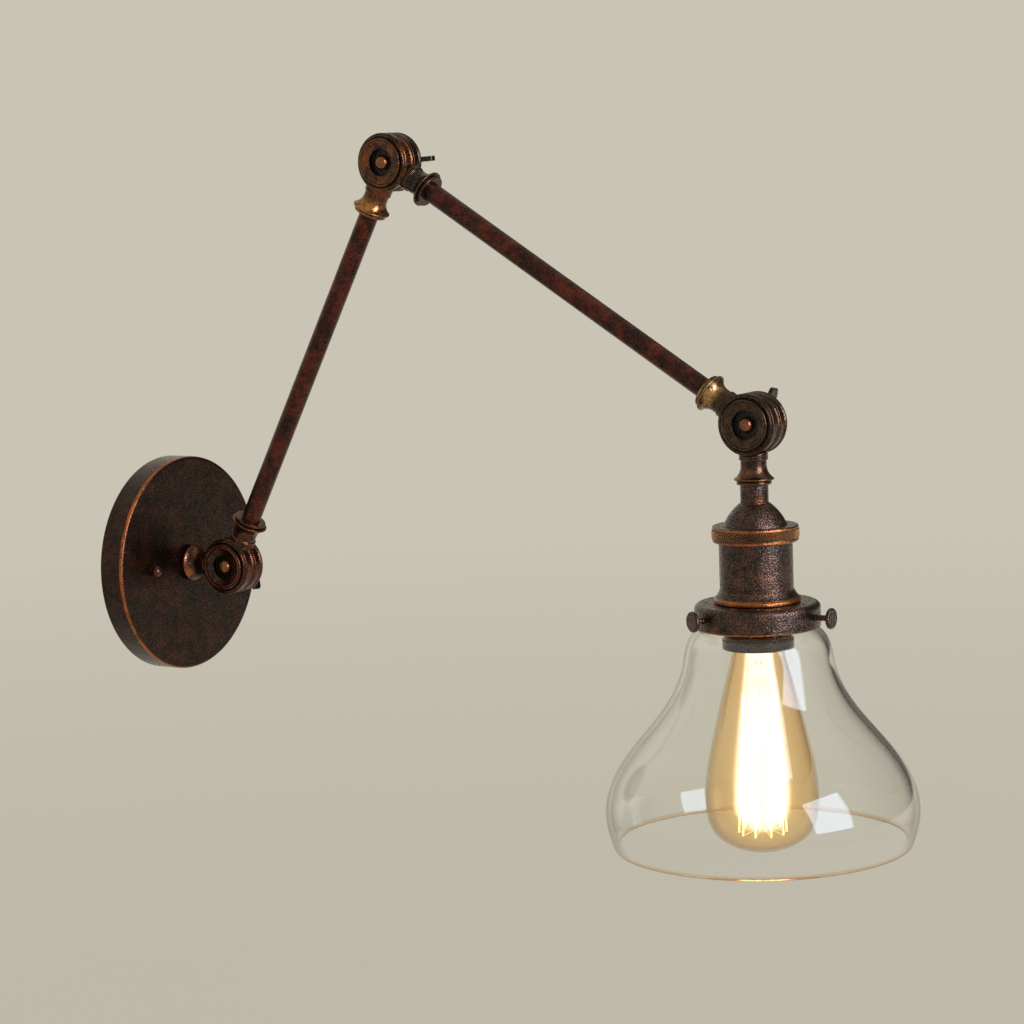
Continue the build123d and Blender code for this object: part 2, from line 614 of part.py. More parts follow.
def at_set_screw(part):
    """Lay a part made up +Z along the set screw's axis, outwards from the stub's centre."""
    return Pos(0, 0, NECK_LENGTH + SET_SCREW_DROP) * Rot(0, 0, SET_SCREW_ANGLE) * Rot(-90, 0, 0) * part


def set_screw():
    """The slotted grub screw that stops the lampholder from turning on its pipe."""
    outer = STUB_RADIUS + SET_SCREW_PROUD
    screw = rod(SET_SCREW_RADIUS, PIPE_RADIUS + RUNNING, outer, 0.3)
    screw -= Pos(0, 0, outer) * Box(2 * SET_SCREW_RADIUS, 0.5, 1.0)
    return at_set_screw(screw)


def head_pipe():
    """The hollow threaded pipe between the head's neck and the lampholder cap."""
    end = STUB_END + DOME_HEIGHT * 0.42 + PIPE_NUT_HEIGHT + HEAD_PIPE_TAIL
    return ring(PIPE_RADIUS, PIPE_BORE_RADIUS, SOCKET_FLOOR, end, 0.4)


def head_pipe_nut():
    """The hexagon nut inside the cap."""
    seat = STUB_END + DOME_HEIGHT * 0.42
    return hex_nut(HEAD_NUT_WIDTH, seat, seat + PIPE_NUT_HEIGHT, PIPE_RADIUS + RUNNING)


def knurled_ring():
    """The union ring that screws the cap to the body, relieved where it is knurled."""
    end = DOME_END + KNURLED_RING_HEIGHT
    band = (KNURLED_RING_HEIGHT - KNURL_BAND_HEIGHT) / 2
    union = turned([
        (DOME_RADIUS + RUNNING, DOME_END, 0),
        (KNURLED_RING_RADIUS, DOME_END, 0.8),
        (KNURLED_RING_RADIUS, end, 0.8),
        (BODY_RADIUS + RUNNING, end, 0),
        (BODY_RADIUS + RUNNING, FLANGE_TOP, 0),
        (DOME_RADIUS + RUNNING, FLANGE_TOP, 0),
    ])
    relief = KNURLED_RING_RADIUS - KNURL_BAND_RECESS
    return union - ring(KNURLED_RING_RADIUS + 1, relief, DOME_END + band, end - band)


def holder_body():
    """The straight metal body, whose skirt flares to a bead that sits on the gallery."""
    bore = BODY_RADIUS - BODY_WALL
    skirt_end = BODY_END + SKIRT_HEIGHT
    straight = Polyline((bore, 0, FLANGE_END), (BODY_RADIUS, 0, FLANGE_END), (BODY_RADIUS, 0, BODY_END))
    groove = Line(straight @ 1, (BODY_RADIUS + 0.4, 0, BODY_END))
    skirt = TangentArc(groove @ 1, (SKIRT_RADIUS, 0, skirt_end), tangent=(0.4, 0, 1))
    bead = FilletPolyline(
        skirt @ 1,
        (SKIRT_RADIUS, 0, GALLERY_TOP),
        (bore, 0, GALLERY_TOP),
        straight @ 0,
        radius=[SKIRT_BEAD_HEIGHT / 2, 0],
    )
    return revolve(make_face([*straight.edges(), groove.edge(), skirt.edge(), *bead.edges()]), Axis.Z)


def thumb_screw_angles():
    """Where the thumb screws stand round the gallery, the first one on the room side."""
    return [90 + i * 360 / THUMB_SCREW_COUNT for i in range(THUMB_SCREW_COUNT)]


def radially(angle, part):
    """Lay a part made up +Z along a radius of the gallery, at the thumb screws' level."""
    return Pos(0, 0, THUMB_LEVEL) * Rot(0, 0, angle) * Rot(0, 90, 0) * part


def gallery():
    """The pressed collar over the glass, with vents on top and three threaded bosses."""
    inside = GALLERY_RADIUS - GALLERY_WALL
    collar = turned([
        (GALLERY_BORE, GALLERY_TOP, 0),
        (GALLERY_RADIUS, GALLERY_TOP, GALLERY_SHOULDER),
        (GALLERY_RADIUS, GALLERY_END, 0.5),
        (inside, GALLERY_END, 0),
        (inside, GALLERY_TOP + GALLERY_WALL, GALLERY_SHOULDER - GALLERY_WALL),
        (GALLERY_BORE, GALLERY_TOP + GALLERY_WALL, 0),
    ])
    boss_start = inside - THUMB_BOSS_LENGTH + GALLERY_WALL
    for angle in thumb_screw_angles():
        collar += radially(angle, rod(THUMB_BOSS_RADIUS, boss_start, inside + GALLERY_WALL / 2))
    for angle in thumb_screw_angles():
        collar -= radially(angle, rod(THUMB_SCREW_RADIUS + RUNNING, boss_start - 1, GALLERY_RADIUS + 1))
    for i in range(VENT_COUNT):
        vent = Pos(VENT_CIRCLE_RADIUS, 0, 0) * rod(VENT_RADIUS, GALLERY_TOP - 1, SHADE_RING_TOP + 1)
        collar -= Rot(0, 0, i * 360 / VENT_COUNT) * vent
    return collar


def thumb_screw(angle, backed_off):
    """A thin round-headed screw, its tip at the glass neck unless it is backed off."""
    head_end = THUMB_SHANK_LENGTH + THUMB_HEAD_THICKNESS
    screw = turned([
        (0, 0, 0),
        (THUMB_SCREW_RADIUS, 0, 0.4),
        (THUMB_SCREW_RADIUS, THUMB_SHANK_LENGTH, 0),
        (THUMB_HEAD_RADIUS, THUMB_SHANK_LENGTH, 0.5),
        (THUMB_HEAD_RADIUS, head_end, 0.9),
        (0, head_end, 0),
    ])
    return radially(angle, Pos(0, 0, THUMB_TIP + backed_off) * screw)


def threaded_sleeve():
    """The metal sleeve round the socket, which carries the shade ring on its thread."""
    sleeve = ring(SLEEVE_RADIUS, SLEEVE_RADIUS - SLEEVE_WALL, SLEEVE_TOP, SLEEVE_END, 0.3)
    shown_from = END_RING_TOP - THREAD_TURNS_SHOWN * THREAD_PITCH
    for turn in range(THREAD_TURNS_SHOWN):
        level = shown_from + (turn + 0.5) * THREAD_PITCH
        root = SLEEVE_RADIUS - THREAD_DEPTH
        sleeve -= turned([
            (root, level, 0),
            (SLEEVE_RADIUS + 0.1, level - THREAD_PITCH / 2, 0),
            (SLEEVE_RADIUS + 0.1, level + THREAD_PITCH / 2, 0),
        ])
    return sleeve


def shade_ring():
    """The flanged ring nut that clamps the gallery up against the lampholder's skirt."""
    bore = SLEEVE_RADIUS + RUNNING
    flange_end = SHADE_RING_TOP + SHADE_RING_FLANGE_HEIGHT
    end = SHADE_RING_TOP + SHADE_RING_LENGTH
    return turned([
        (bore, SHADE_RING_TOP, 0),
        (SHADE_RING_FLANGE_RADIUS, SHADE_RING_TOP, 0.4),
        (SHADE_RING_FLANGE_RADIUS, flange_end, 0.4),
        (SHADE_RING_RADIUS, flange_end, 0),
        (SHADE_RING_RADIUS, end, 0.3),
        (bore, end, 0),
    ])


def end_ring():
    """The narrow ring that finishes the mouth of the sleeve."""
    return ring(END_RING_RADIUS, SLEEVE_RADIUS + RUNNING, END_RING_TOP, SLEEVE_END, 0.4)


def socket_insert():
    """The moulded insulating cup inside the sleeve."""
    cup = rod(INSERT_RADIUS, SLEEVE_TOP, SLEEVE_END - 1, 0.5)
    cup -= rod(INSERT_BORE, SLEEVE_TOP + INSERT_FLOOR, SLEEVE_END)
    hole = rod(TERMINAL_SCREW_RADIUS + RUNNING, SLEEVE_TOP - 1, SHELL_TOP)
    for side in (-1, 1):
        cup -= Pos(side * TERMINAL_OFFSET, 0, 0) * hole
    return cup


def terminal_screws():
    """The two brass screws that clamp the wires to the insert's back."""
    screws = []
    for side in (-1, 1):
        screw = rod(TERMINAL_SCREW_RADIUS, SLEEVE_TOP, SLEEVE_TOP + INSERT_FLOOR)
        screw += rod(TERMINAL_HEAD_RADIUS, SLEEVE_TOP - TERMINAL_HEAD_HEIGHT, SLEEVE_TOP, 0.4)
        screw -= Pos(0, 0, SLEEVE_TOP - TERMINAL_HEAD_HEIGHT) * Box(2 * TERMINAL_HEAD_RADIUS, 0.7, 1.2)
        screws.append(Pos(side * TERMINAL_OFFSET, 0, 0) * screw)
    return screws


def screw_shell():
    """The threaded brass shell that grips the bulb's base, with a tab down to the floor."""
    inner = SCREW_SHELL_RADIUS - SCREW_SHELL_WALL
    shell = ring(SCREW_SHELL_RADIUS, inner, SHELL_TOP, SHELL_TOP + SCREW_SHELL_LENGTH)
    foot = SLEEVE_TOP + INSERT_FLOOR
    tab_end = SHELL_TOP + 1
    tab = Box(SCREW_SHELL_WALL, CONTACT_WIDTH, tab_end - foot)
    for side in (-1, 1):
        shell += Pos(side * (inner + SCREW_SHELL_WALL / 2), 0, (foot + tab_end) / 2) * tab
    return shell


def centre_contact():
    """The sprung brass tongue under the bulb's tip."""
    foot = SLEEVE_TOP + INSERT_FLOOR
    rise = BULB_CONTACT_TOP - ROTOR_GAP - foot
    reach = BULB_CONTACT_RADIUS + 2
    tongue = Polyline(
        (-reach, foot + CONTACT_THICKNESS / 2),
        (reach / 2, foot + CONTACT_THICKNESS / 2),
        (reach, foot + rise / 2),
        (-reach / 2, foot + rise - CONTACT_THICKNESS / 2),
    )
    strip = offset(tongue, CONTACT_THICKNESS / 2)
    return extrude(Plane.XZ * make_face(strip.edges()), CONTACT_WIDTH / 2, both=True)


# ---- glass ----


def blown_wall(outside, wall, end_tangent=None):
    """Revolve a glass wall: a smooth line through (radius, height) points, and its offset."""
    points = [(radius, 0, height) for radius, height in outside]
    line = Spline(*points)
    if end_tangent:
        line = Spline(*points, tangents=[line % 0, end_tangent])
    steps = 4 * len(outside)
    inner_points = []
    for i in range(steps + 1):
        along = line % (i / steps)
        inward = Vector(-along.Z, 0, along.X).normalized()
        point = line @ (i / steps) + inward * wall
        inner_points.append(Vector(max(point.X, 0), 0, point.Z))
    inner_line = Spline(*inner_points)
    start = Line(line @ 0, inner_line @ 0)
    end = Line(line @ 1, inner_line @ 1)
    return revolve(make_face([line.edge(), inner_line.edge(), start.edge(), end.edge()]), Axis.Z)


def glass_shade():
    """The blown bell: a lip and waist inside the gallery, a long neck, a belly and a rim."""
    neck_level = GALLERY_TOP + SHADE_NECK_DROP
    wide = SHADE_BELLY_RADIUS - SHADE_NECK_RADIUS
    tall = SHADE_BELLY_DROP - SHADE_NECK_DROP
    bell = blown_wall([
        (SHADE_LIP_RADIUS, GALLERY_TOP + SHADE_LIP_DROP),
        (SHADE_WAIST_RADIUS, THUMB_LEVEL + 0.6),
        (SHADE_SHOULDER_RADIUS, GALLERY_TOP + SHADE_SHOULDER_DROP),
        (SHADE_NECK_RADIUS, neck_level),
        (SHADE_NECK_RADIUS + wide * 0.21, neck_level + tall * 0.26),
        (SHADE_NECK_RADIUS + wide * 0.63, neck_level + tall * 0.547),
        (SHADE_NECK_RADIUS + wide * 0.926, neck_level + tall * 0.8),
        (SHADE_BELLY_RADIUS, GALLERY_TOP + SHADE_BELLY_DROP),
        (SHADE_RIM_RADIUS, GALLERY_TOP + SHADE_RIM_DROP),
    ], SHADE_WALL)
    return fillet(bell.edges().group_by(Axis.Z)[-1], SHADE_WALL * 0.4)


# ---- bulb ----


def bulb_glass():
    """The pear-shaped envelope, cemented into the base at its open neck."""
    length = BULB_TIP - BULB_GLASS_TOP
    return blown_wall([
        (BULB_NECK_RADIUS, BULB_GLASS_TOP),
        (BULB_NECK_RADIUS, BULB_GLASS_TOP + 14),
        (BULB_RADIUS * 0.59, BULB_TIP - length * 0.714),
        (BULB_RADIUS * 0.85, BULB_TIP - length * 0.465),
        (BULB_RADIUS, BULB_TIP - BULB_RADIUS * 0.98),
        (BULB_RADIUS * 0.84, BULB_TIP - BULB_RADIUS * 0.35),
        (BULB_RADIUS * 0.36, BULB_TIP - BULB_RADIUS * 0.056),
        (0, BULB_TIP),
    ], BULB_GLASS_WALL, end_tangent=(-1, 0, 0))


def bulb_base():
    """The thin brass screw cap of the bulb, with its rolled thread."""
    end = BULB_BASE_TOP + BULB_BASE_LENGTH
    inner = BULB_BASE_RADIUS - BULB_BASE_WALL
    shoulder = BULB_BASE_RADIUS - BULB_INSULATOR_RADIUS
    cap = turned([
        (BULB_INSULATOR_RADIUS, BULB_BASE_TOP, 0),
        (BULB_BASE_RADIUS, BULB_BASE_TOP + shoulder / 2, 1),
        (BULB_BASE_RADIUS, end, 0),
        (inner, end, 0),
        (inner, BULB_BASE_TOP + shoulder / 2 + BULB_BASE_WALL, 0.5),
        (BULB_INSULATOR_RADIUS, BULB_BASE_TOP + 2 * BULB_BASE_WALL, 0),
    ])
    for turn in range(BULB_THREAD_TURNS):
        level = BULB_BASE_TOP + shoulder + (turn + 0.5) * BULB_THREAD_PITCH
        cap -= turned([
            (BULB_BASE_RADIUS - BULB_THREAD_DEPTH, level, 0),
            (BULB_BASE_RADIUS + 0.1, level - BULB_THREAD_PITCH / 3, 0),
            (BULB_BASE_RADIUS + 0.1, level + BULB_THREAD_PITCH / 3, 0),
        ])
    return cap


def bulb_insulator():
    """The black glass cone between the cap and the centre contact."""
    return turned([
        (0, BULB_INSULATOR_TOP, 0),
        (BULB_CONTACT_RADIUS, BULB_INSULATOR_TOP, 0.3),
        (BULB_INSULATOR_RADIUS, BULB_BASE_TOP, 0),
        (BULB_INSULATOR_RADIUS, BULB_BASE_TOP + 2 * BULB_BASE_WALL, 0),
        (0, BULB_BASE_TOP + 2 * BULB_BASE_WALL, 0),
    ])


def bulb_contact():
    """The solder button at the bulb's tip."""
    return turned([
        (0, BULB_CONTACT_TOP, 0),
        (BULB_CONTACT_RADIUS * 0.7, BULB_CONTACT_TOP, 0.3),
        (BULB_CONTACT_RADIUS, BULB_INSULATOR_TOP, 0),
        (0, BULB_INSULATOR_TOP, 0),
    ])


def bulb_stem():
    """The pressed glass stem: a flare sealed in the neck, a stalk and a long thin rod."""
    flare_radius = BULB_NECK_RADIUS - BULB_GLASS_WALL - ROTOR_GAP
    stalk_end = BULB_GLASS_TOP + STEM_LENGTH
    return turned([
        (0, BULB_GLASS_TOP, 0),
        (flare_radius, BULB_GLASS_TOP, 0),
        (flare_radius, BULB_GLASS_TOP + BULB_GLASS_WALL, 0),
        (STEM_RADIUS, BULB_GLASS_TOP + STEM_LENGTH / 3, 4),
        (STEM_RADIUS, stalk_end, 1.5),
        (STEM_ROD_RADIUS, stalk_end + STEM_RADIUS, 1),
        (STEM_ROD_RADIUS, CAGE_FOOT, 0.6),
        (0, CAGE_FOOT, 0),
    ])


def cage_bends():
    """The filament's bends, in turn at the top and at the foot of the cage."""
    bends = []
    for i in range(FILAMENT_STRANDS + 1):
        at_top = i % 2 == 0
        radius = CAGE_TOP_RADIUS if at_top else CAGE_FOOT_RADIUS
        angle = radians(i * 360 / (FILAMENT_STRANDS + 1))
        bends.append(Vector(radius * cos(angle), radius * sin(angle), CAGE_TOP if at_top else CAGE_FOOT))
    return bends


def wire(radius, start, end):
    """A straight round wire between two points, with a ball at its far end."""
    along = Plane(origin=start, z_dir=end - start)
    return along * rod(radius, 0, (end - start).length) + Pos(end) * Sphere(radius)


def filament():
    """One wire bent into a cage of straight strands, open on one side."""
    bends = cage_bends()
    cage = Pos(bends[0]) * Sphere(FILAMENT_RADIUS)
    for start, end in zip(bends, bends[1:]):
        cage += wire(FILAMENT_RADIUS, start, end)
    return cage


def filament_supports():
    """Fine wires from the stem to each bend of the filament."""
    supports = []
    hold_off = FILAMENT_RADIUS + SUPPORT_WIRE_RADIUS + RUNNING
    stem_side = STEM_ROD_RADIUS + SUPPORT_WIRE_RADIUS + RUNNING
    for bend in cage_bends():
        outward = Vector(bend.X, bend.Y, 0).normalized()
        end = bend - outward * hold_off
        rise = -(CAGE_HEIGHT / 8) if bend.Z < CAGE_FOOT else -CAGE_TIP_DROP / 4
        start = outward * stem_side + Vector(0, 0, bend.Z + rise)
        supports.append(wire(SUPPORT_WIRE_RADIUS, start, end))
    return supports


# ---- the pieces, each in its place ----

NODES = {
    "crossbar": crossbar(),
    "earth_screw": earth_screw(),
    "canopy_studs": canopy_studs(),
    "stud_nuts": stud_nuts(),
    "canopy": canopy(),
    "canopy_cap_nuts": canopy_cap_nuts(),
    "base_pipe": base_pipe(),
    "base_lock_washer": base_lock_washer(),
    "base_pipe_nut": base_pipe_nut(),
    "base_knuckle_wall_half": placed(swivel_half(1), BASE_PIVOT, -90),
    "base_friction_ring": placed(friction_ring(), BASE_PIVOT, 0),
    "base_nut_washer": placed(nut_washer(), BASE_PIVOT, 0),
    "base_wing_nut": placed(wing_nut(), BASE_PIVOT, BASE_WING_ANGLE),
    "lower_arm_tube": placed(arm_tube(), BASE_PIVOT, LOWER_ARM_ANGLE),
    "base_knuckle_arm_half": placed(swivel_half(-1), BASE_PIVOT, LOWER_ARM_ANGLE),
    "elbow_knuckle_lower_half": placed(swivel_half(-1), ELBOW_PIVOT, LOWER_ARM_ANGLE + 180),
    "base_pivot_bolt": placed(pivot_bolt(), BASE_PIVOT, LOWER_ARM_ANGLE),
    "elbow_pivot_bolt": placed(pivot_bolt(), ELBOW_PIVOT, LOWER_ARM_ANGLE),
    "upper_arm_tube": placed(arm_tube(), ELBOW_PIVOT, UPPER_ARM_ANGLE),
    "elbow_knuckle_upper_half": placed(swivel_half(1), ELBOW_PIVOT, UPPER_ARM_ANGLE),
    "elbow_friction_ring": placed(friction_ring(), ELBOW_PIVOT, 0),
    "elbow_nut_washer": placed(nut_washer(), ELBOW_PIVOT, 0),
    "elbow_wing_nut": placed(wing_nut(), ELBOW_PIVOT, ELBOW_WING_ANGLE),
    "head_knuckle_arm_half": placed(swivel_half(-1), HEAD_PIVOT, UPPER_ARM_ANGLE + 180),
    "head_pivot_bolt": placed(pivot_bolt(), HEAD_PIVOT, UPPER_ARM_ANGLE),
    "head_wing_nut": placed(wing_nut(), HEAD_PIVOT, HEAD_WING_ANGLE),
    "head_knuckle_lamp_half": placed(swivel_half(1), HEAD_PIVOT, HEAD_ANGLE),
    "head_friction_ring": placed(friction_ring(), HEAD_PIVOT, 0),
    "head_nut_washer": placed(nut_washer(), HEAD_PIVOT, 0),
}
FIRST_ANGLE, SECOND_ANGLE, THIRD_ANGLE = thumb_screw_angles()
HANGING = {
    "head_pipe": head_pipe(),
    "head_pipe_nut": head_pipe_nut(),
    "holder_cap": holder_cap(),
    "set_screw": set_screw(),
    "knurled_ring": knurled_ring(),
    "holder_body": holder_body(),
    "threaded_sleeve": threaded_sleeve(),
    "gallery": gallery(),
    "shade_ring": shade_ring(),
    "end_ring": end_ring(),
    "socket_insert": socket_insert(),
    "terminal_screws": terminal_screws(),
    "screw_shell": screw_shell(),
    "centre_contact": centre_contact(),
    "glass_shade": glass_shade(),
    "thumb_screw_room": thumb_screw(FIRST_ANGLE, THUMB_BACKED_OFF),
    "thumb_screw_left": thumb_screw(SECOND_ANGLE, 0),
    "thumb_screw_right": thumb_screw(THIRD_ANGLE, 0),
    "bulb_base": bulb_base(),
    "bulb_insulator": bulb_insulator(),
    "bulb_contact": bulb_contact(),
    "bulb_glass": bulb_glass(),
    "bulb_stem": bulb_stem(),
    "filament_supports": filament_supports(),
    "filament": filament(),
}
for name, solids in HANGING.items():
    if isinstance(solids, list):
        NODES[name] = [placed(solid, HEAD_PIVOT, HEAD_ANGLE) for solid in solids]
    else:
        NODES[name] = placed(solids, HEAD_PIVOT, HEAD_ANGLE)

os.makedirs("parts", exist_ok=True)
for name, solids in NODES.items():
    group = Compound(children=solids) if isinstance(solids, list) else solids
    export_step(group, f"parts/{name}.step")
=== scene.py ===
import math

import bmesh
import bpy
import numpy as np
from mathutils import Matrix, Vector


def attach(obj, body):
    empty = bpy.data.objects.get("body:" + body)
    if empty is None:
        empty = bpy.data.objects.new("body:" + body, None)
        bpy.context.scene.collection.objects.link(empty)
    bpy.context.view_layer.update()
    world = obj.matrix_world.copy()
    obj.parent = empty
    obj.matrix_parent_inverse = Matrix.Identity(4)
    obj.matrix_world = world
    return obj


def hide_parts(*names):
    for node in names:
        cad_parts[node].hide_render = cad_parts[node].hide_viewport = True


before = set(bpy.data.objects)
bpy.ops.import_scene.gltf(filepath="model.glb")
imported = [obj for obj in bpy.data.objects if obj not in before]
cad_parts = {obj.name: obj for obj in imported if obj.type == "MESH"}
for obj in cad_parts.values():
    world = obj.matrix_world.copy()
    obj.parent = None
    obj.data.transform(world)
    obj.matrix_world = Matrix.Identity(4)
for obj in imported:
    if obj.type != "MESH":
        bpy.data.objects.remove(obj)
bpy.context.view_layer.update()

# ---- The studio ----
# A pale sweep of paper, a large diffusing panel, soft lamps and a camera that stands where the
# photograph was taken: on the left, 1.6 m from the canopy. Nothing here belongs to the lamp.
scene = bpy.context.scene
scene.view_settings.view_transform = "Standard"

CAMERA_AT = Vector((-1.21945, -1.01280, 0.22388))
CAMERA_YAW, CAMERA_PITCH, CAMERA_ROLL = (math.radians(a) for a in (-57.356, 7.356, -2.117))
forward = Vector((
    -math.sin(CAMERA_YAW) * math.cos(CAMERA_PITCH),
    math.cos(CAMERA_YAW) * math.cos(CAMERA_PITCH),
    -math.sin(CAMERA_PITCH),
))
level_right = Vector((math.cos(CAMERA_YAW), math.sin(CAMERA_YAW), 0))
level_up = level_right.cross(forward)
camera_right = level_right * math.cos(CAMERA_ROLL) + level_up * math.sin(CAMERA_ROLL)
camera_up = level_up * math.cos(CAMERA_ROLL) - level_right * math.sin(CAMERA_ROLL)
camera_data = bpy.data.cameras.new("photo_camera")
camera_data.sensor_width = 36.0
camera_data.lens = 98.27
camera_data.clip_start = 0.05
camera = bpy.data.objects.new("photo_camera", camera_data)
camera_turn = Matrix((camera_right, camera_up, -forward)).transposed().to_4x4()
camera.matrix_world = Matrix.Translation(CAMERA_AT) @ camera_turn
scene.collection.objects.link(camera)
scene.camera = camera


def linear(hex_colour):
    """An sRGB hex colour as linear red, green, blue and full alpha."""
    parts = [int(hex_colour[i : i + 2], 16) / 255 for i in (1, 3, 5)]
    return [p / 12.92 if p <= 0.04045 else ((p + 0.055) / 1.055) ** 2.4 for p in parts] + [1.0]


def add_node(tree, kind, settings=None, **links):
    """Add a node to a tree. Settings are attributes, or input values keyed by number or name.
    Links give what feeds an input: in_0=socket, or the input's name with underscores."""
    node = tree.nodes.new(kind)
    for key, value in (settings or {}).items():
        if isinstance(key, str) and hasattr(node, key):
            setattr(node, key, value)
        else:
            node.inputs[key].default_value = value
    for key, socket in links.items():
        target = int(key[3:]) if key.startswith("in_") else key.replace("_", " ")
        tree.links.new(socket, node.inputs[target])
    return node


def new_material(name):
    """An empty node material: its tree, its shader and its object coordinates."""
    material = bpy.data.materials.new(name)
    material.use_nodes = True
    tree = material.node_tree
    tree.nodes.clear()
    shader = add_node(tree, "ShaderNodeBsdfPrincipled")
    add_node(tree, "ShaderNodeOutputMaterial", in_0=shader.outputs[0])
    place = add_node(tree, "ShaderNodeTexCoord").outputs["Object"]
    return material, tree, shader, place


def two_tones(tree, factor, first, second):
    """The colour between two hex colours that a factor picks."""
    tone = add_node(tree, "ShaderNodeValToRGB", in_0=factor)
    tone.color_ramp.elements[0].color = linear(first)
    tone.color_ramp.elements[1].color = linear(second)
    return tone.outputs[0]


BACKDROP = "#CAC4B4"

# the paper: seen directly, in glass and in metal it is its own plain colour
paper, tree, shader, place = new_material("seamless_paper")
grain = add_node(tree, "ShaderNodeTexNoise", {"Scale": 6.0, "Detail": 3.0}, Vector=place)
tone = two_tones(tree, grain.outputs["Fac"], "#C9C3B4", "#D2CCBE")
tree.links.new(tone, shader.inputs["Base Color"])
shader.inputs["Roughness"].default_value = 0.9
shader.inputs["Specular IOR Level"].default_value = 0.1


def seen_sharply(tree, rays):
    """1 for rays of the camera, through glass and off metal, and 0 for those that only light."""
    seen = add_node(tree, "ShaderNodeMath", {"operation": "MAXIMUM"}, in_0=rays.outputs["Is Camera Ray"],
                    in_1=rays.outputs["Is Transmission Ray"])
    return add_node(tree, "ShaderNodeMath", {"operation": "MAXIMUM"}, in_0=seen.outputs[0],
                    in_1=rays.outputs["Is Glossy Ray"]).outputs[0]


def set_output(tree, closure):
    """Make a closure the surface of a material's tree."""
    output = next(n for n in tree.nodes if n.type == "OUTPUT_MATERIAL")
    tree.links.new(closure, output.inputs[0])


seen = seen_sharply(tree, add_node(tree, "ShaderNodeLightPath"))
# near the lamp a part of the real paper stays, with its shadow; far off it melts into the sweep
far_off = add_node(tree, "ShaderNodeVectorMath", {"operation": "LENGTH"}, in_0=place)
melt = add_node(tree, "ShaderNodeMapRange", {1: 1.5, 2: 7.0, 3: 0.75, 4: 1.0}, Value=far_off.outputs["Value"])
share = add_node(tree, "ShaderNodeMath", {"operation": "MULTIPLY"}, in_0=seen, in_1=melt.outputs[0])
plain = add_node(tree, "ShaderNodeEmission", {"Color": linear(BACKDROP), "Strength": 1.0})
paper_mix = add_node(tree, "ShaderNodeMixShader", in_0=share.outputs[0], in_1=shader.outputs[0],
                     in_2=plain.outputs[0])
set_output(tree, paper_mix.outputs[0])
CORNERS = ((-1, -1), (1, -1), (1, 1), (-1, 1))
FLOOR_LEVEL, FLOOR_REACH = -0.95, 12
floor_mesh = bpy.data.meshes.new("studio_floor")
floor_mesh.from_pydata([(x * FLOOR_REACH, y * FLOOR_REACH, FLOOR_LEVEL) for x, y in CORNERS], [], [(0, 1, 2, 3)])
floor = bpy.data.objects.new("studio_floor", floor_mesh)
floor_mesh.materials.append(paper)
scene.collection.objects.link(floor)

world = bpy.data.worlds.new("studio")
scene.world = world
world.use_nodes = True
sky = world.node_tree
sky.nodes.clear()
rays = add_node(sky, "ShaderNodeLightPath")
AMBIENT_LIGHT = 0.3
ambient = add_node(sky, "ShaderNodeBackground", {"Color": linear("#D9D8D6"), "Strength": AMBIENT_LIGHT})
backdrop = add_node(sky, "ShaderNodeBackground", {"Color": linear(BACKDROP), "Strength": 1.0})
# A black card stands off to the right. Only metal that mirrors it and glass that bends the view far
# enough show it, and it draws their dark edges. Its edge is soft: from EDGE to CORE, which are
# cosines, it goes from clear to dark, and in glass it is smaller by SHRINK.
CARD_WAY, CARD_EDGE, CARD_CORE, CARD_DARKNESS, CARD_SHRINK = (0.92, -0.38, 0.0), 0.52, 0.80, 0.9, 0.16
heading = add_node(sky, "ShaderNodeTexCoord").outputs["Generated"]
card = add_node(sky, "ShaderNodeVectorMath", {"operation": "DOT_PRODUCT", 1: CARD_WAY}, in_0=heading)
card = add_node(sky, "ShaderNodeMath", {"operation": "MULTIPLY_ADD", 1: -CARD_SHRINK},
                in_0=rays.outputs["Is Transmission Ray"], in_2=card.outputs["Value"])
card = add_node(sky, "ShaderNodeMapRange", {1: CARD_EDGE, 2: CARD_CORE, 3: 0.0, 4: CARD_DARKNESS},
                Value=card.outputs[0])
card = add_node(sky, "ShaderNodeMath", {"operation": "MULTIPLY"}, in_0=card.outputs[0],
                in_1=rays.outputs["Is Glossy Ray"])
lit = add_node(sky, "ShaderNodeMath", {"operation": "SUBTRACT", 0: 1.0}, in_1=card.outputs[0])
sky.links.new(lit.outputs[0], backdrop.inputs["Strength"])
mixed = add_node(sky, "ShaderNodeMixShader", in_0=seen_sharply(sky, rays), in_1=ambient.outputs[0],
                 in_2=backdrop.outputs[0])
add_node(sky, "ShaderNodeOutputWorld", in_0=mixed.outputs[0])

SOFT_LAMPS = [
    # name, place, aimed at, width, height, watts, colour
    ("fill_left", (-2.2, -0.1, 0.6), (0, -0.25, 0.0), 1.0, 1.4, 9, "#FFFFFF"),
    ("fill_right", (2.0, -1.0, 0.5), (0, -0.25, 0.0), 1.4, 1.4, 8, "#FFF6EA"),
    ("top", (0.2, -0.5, 1.9), (0, -0.3, 0.0), 1.2, 1.2, 10, "#FFFFFF"),
]
for name, at, target, width, height, watts, colour in SOFT_LAMPS:
    lamp = bpy.data.lights.new(name, "AREA")
    lamp.shape = "RECTANGLE"
    lamp.size = width
    lamp.size_y = height
    lamp.energy = watts
    lamp.color = linear(colour)[:3]
    holder = bpy.data.objects.new(name, lamp)
    holder.location = at
    holder.rotation_euler = (Vector(target) - Vector(at)).to_track_quat("-Z", "Y").to_euler()
    holder.visible_glossy = False
    holder.visible_transmission = False
    scene.collection.objects.link(holder)

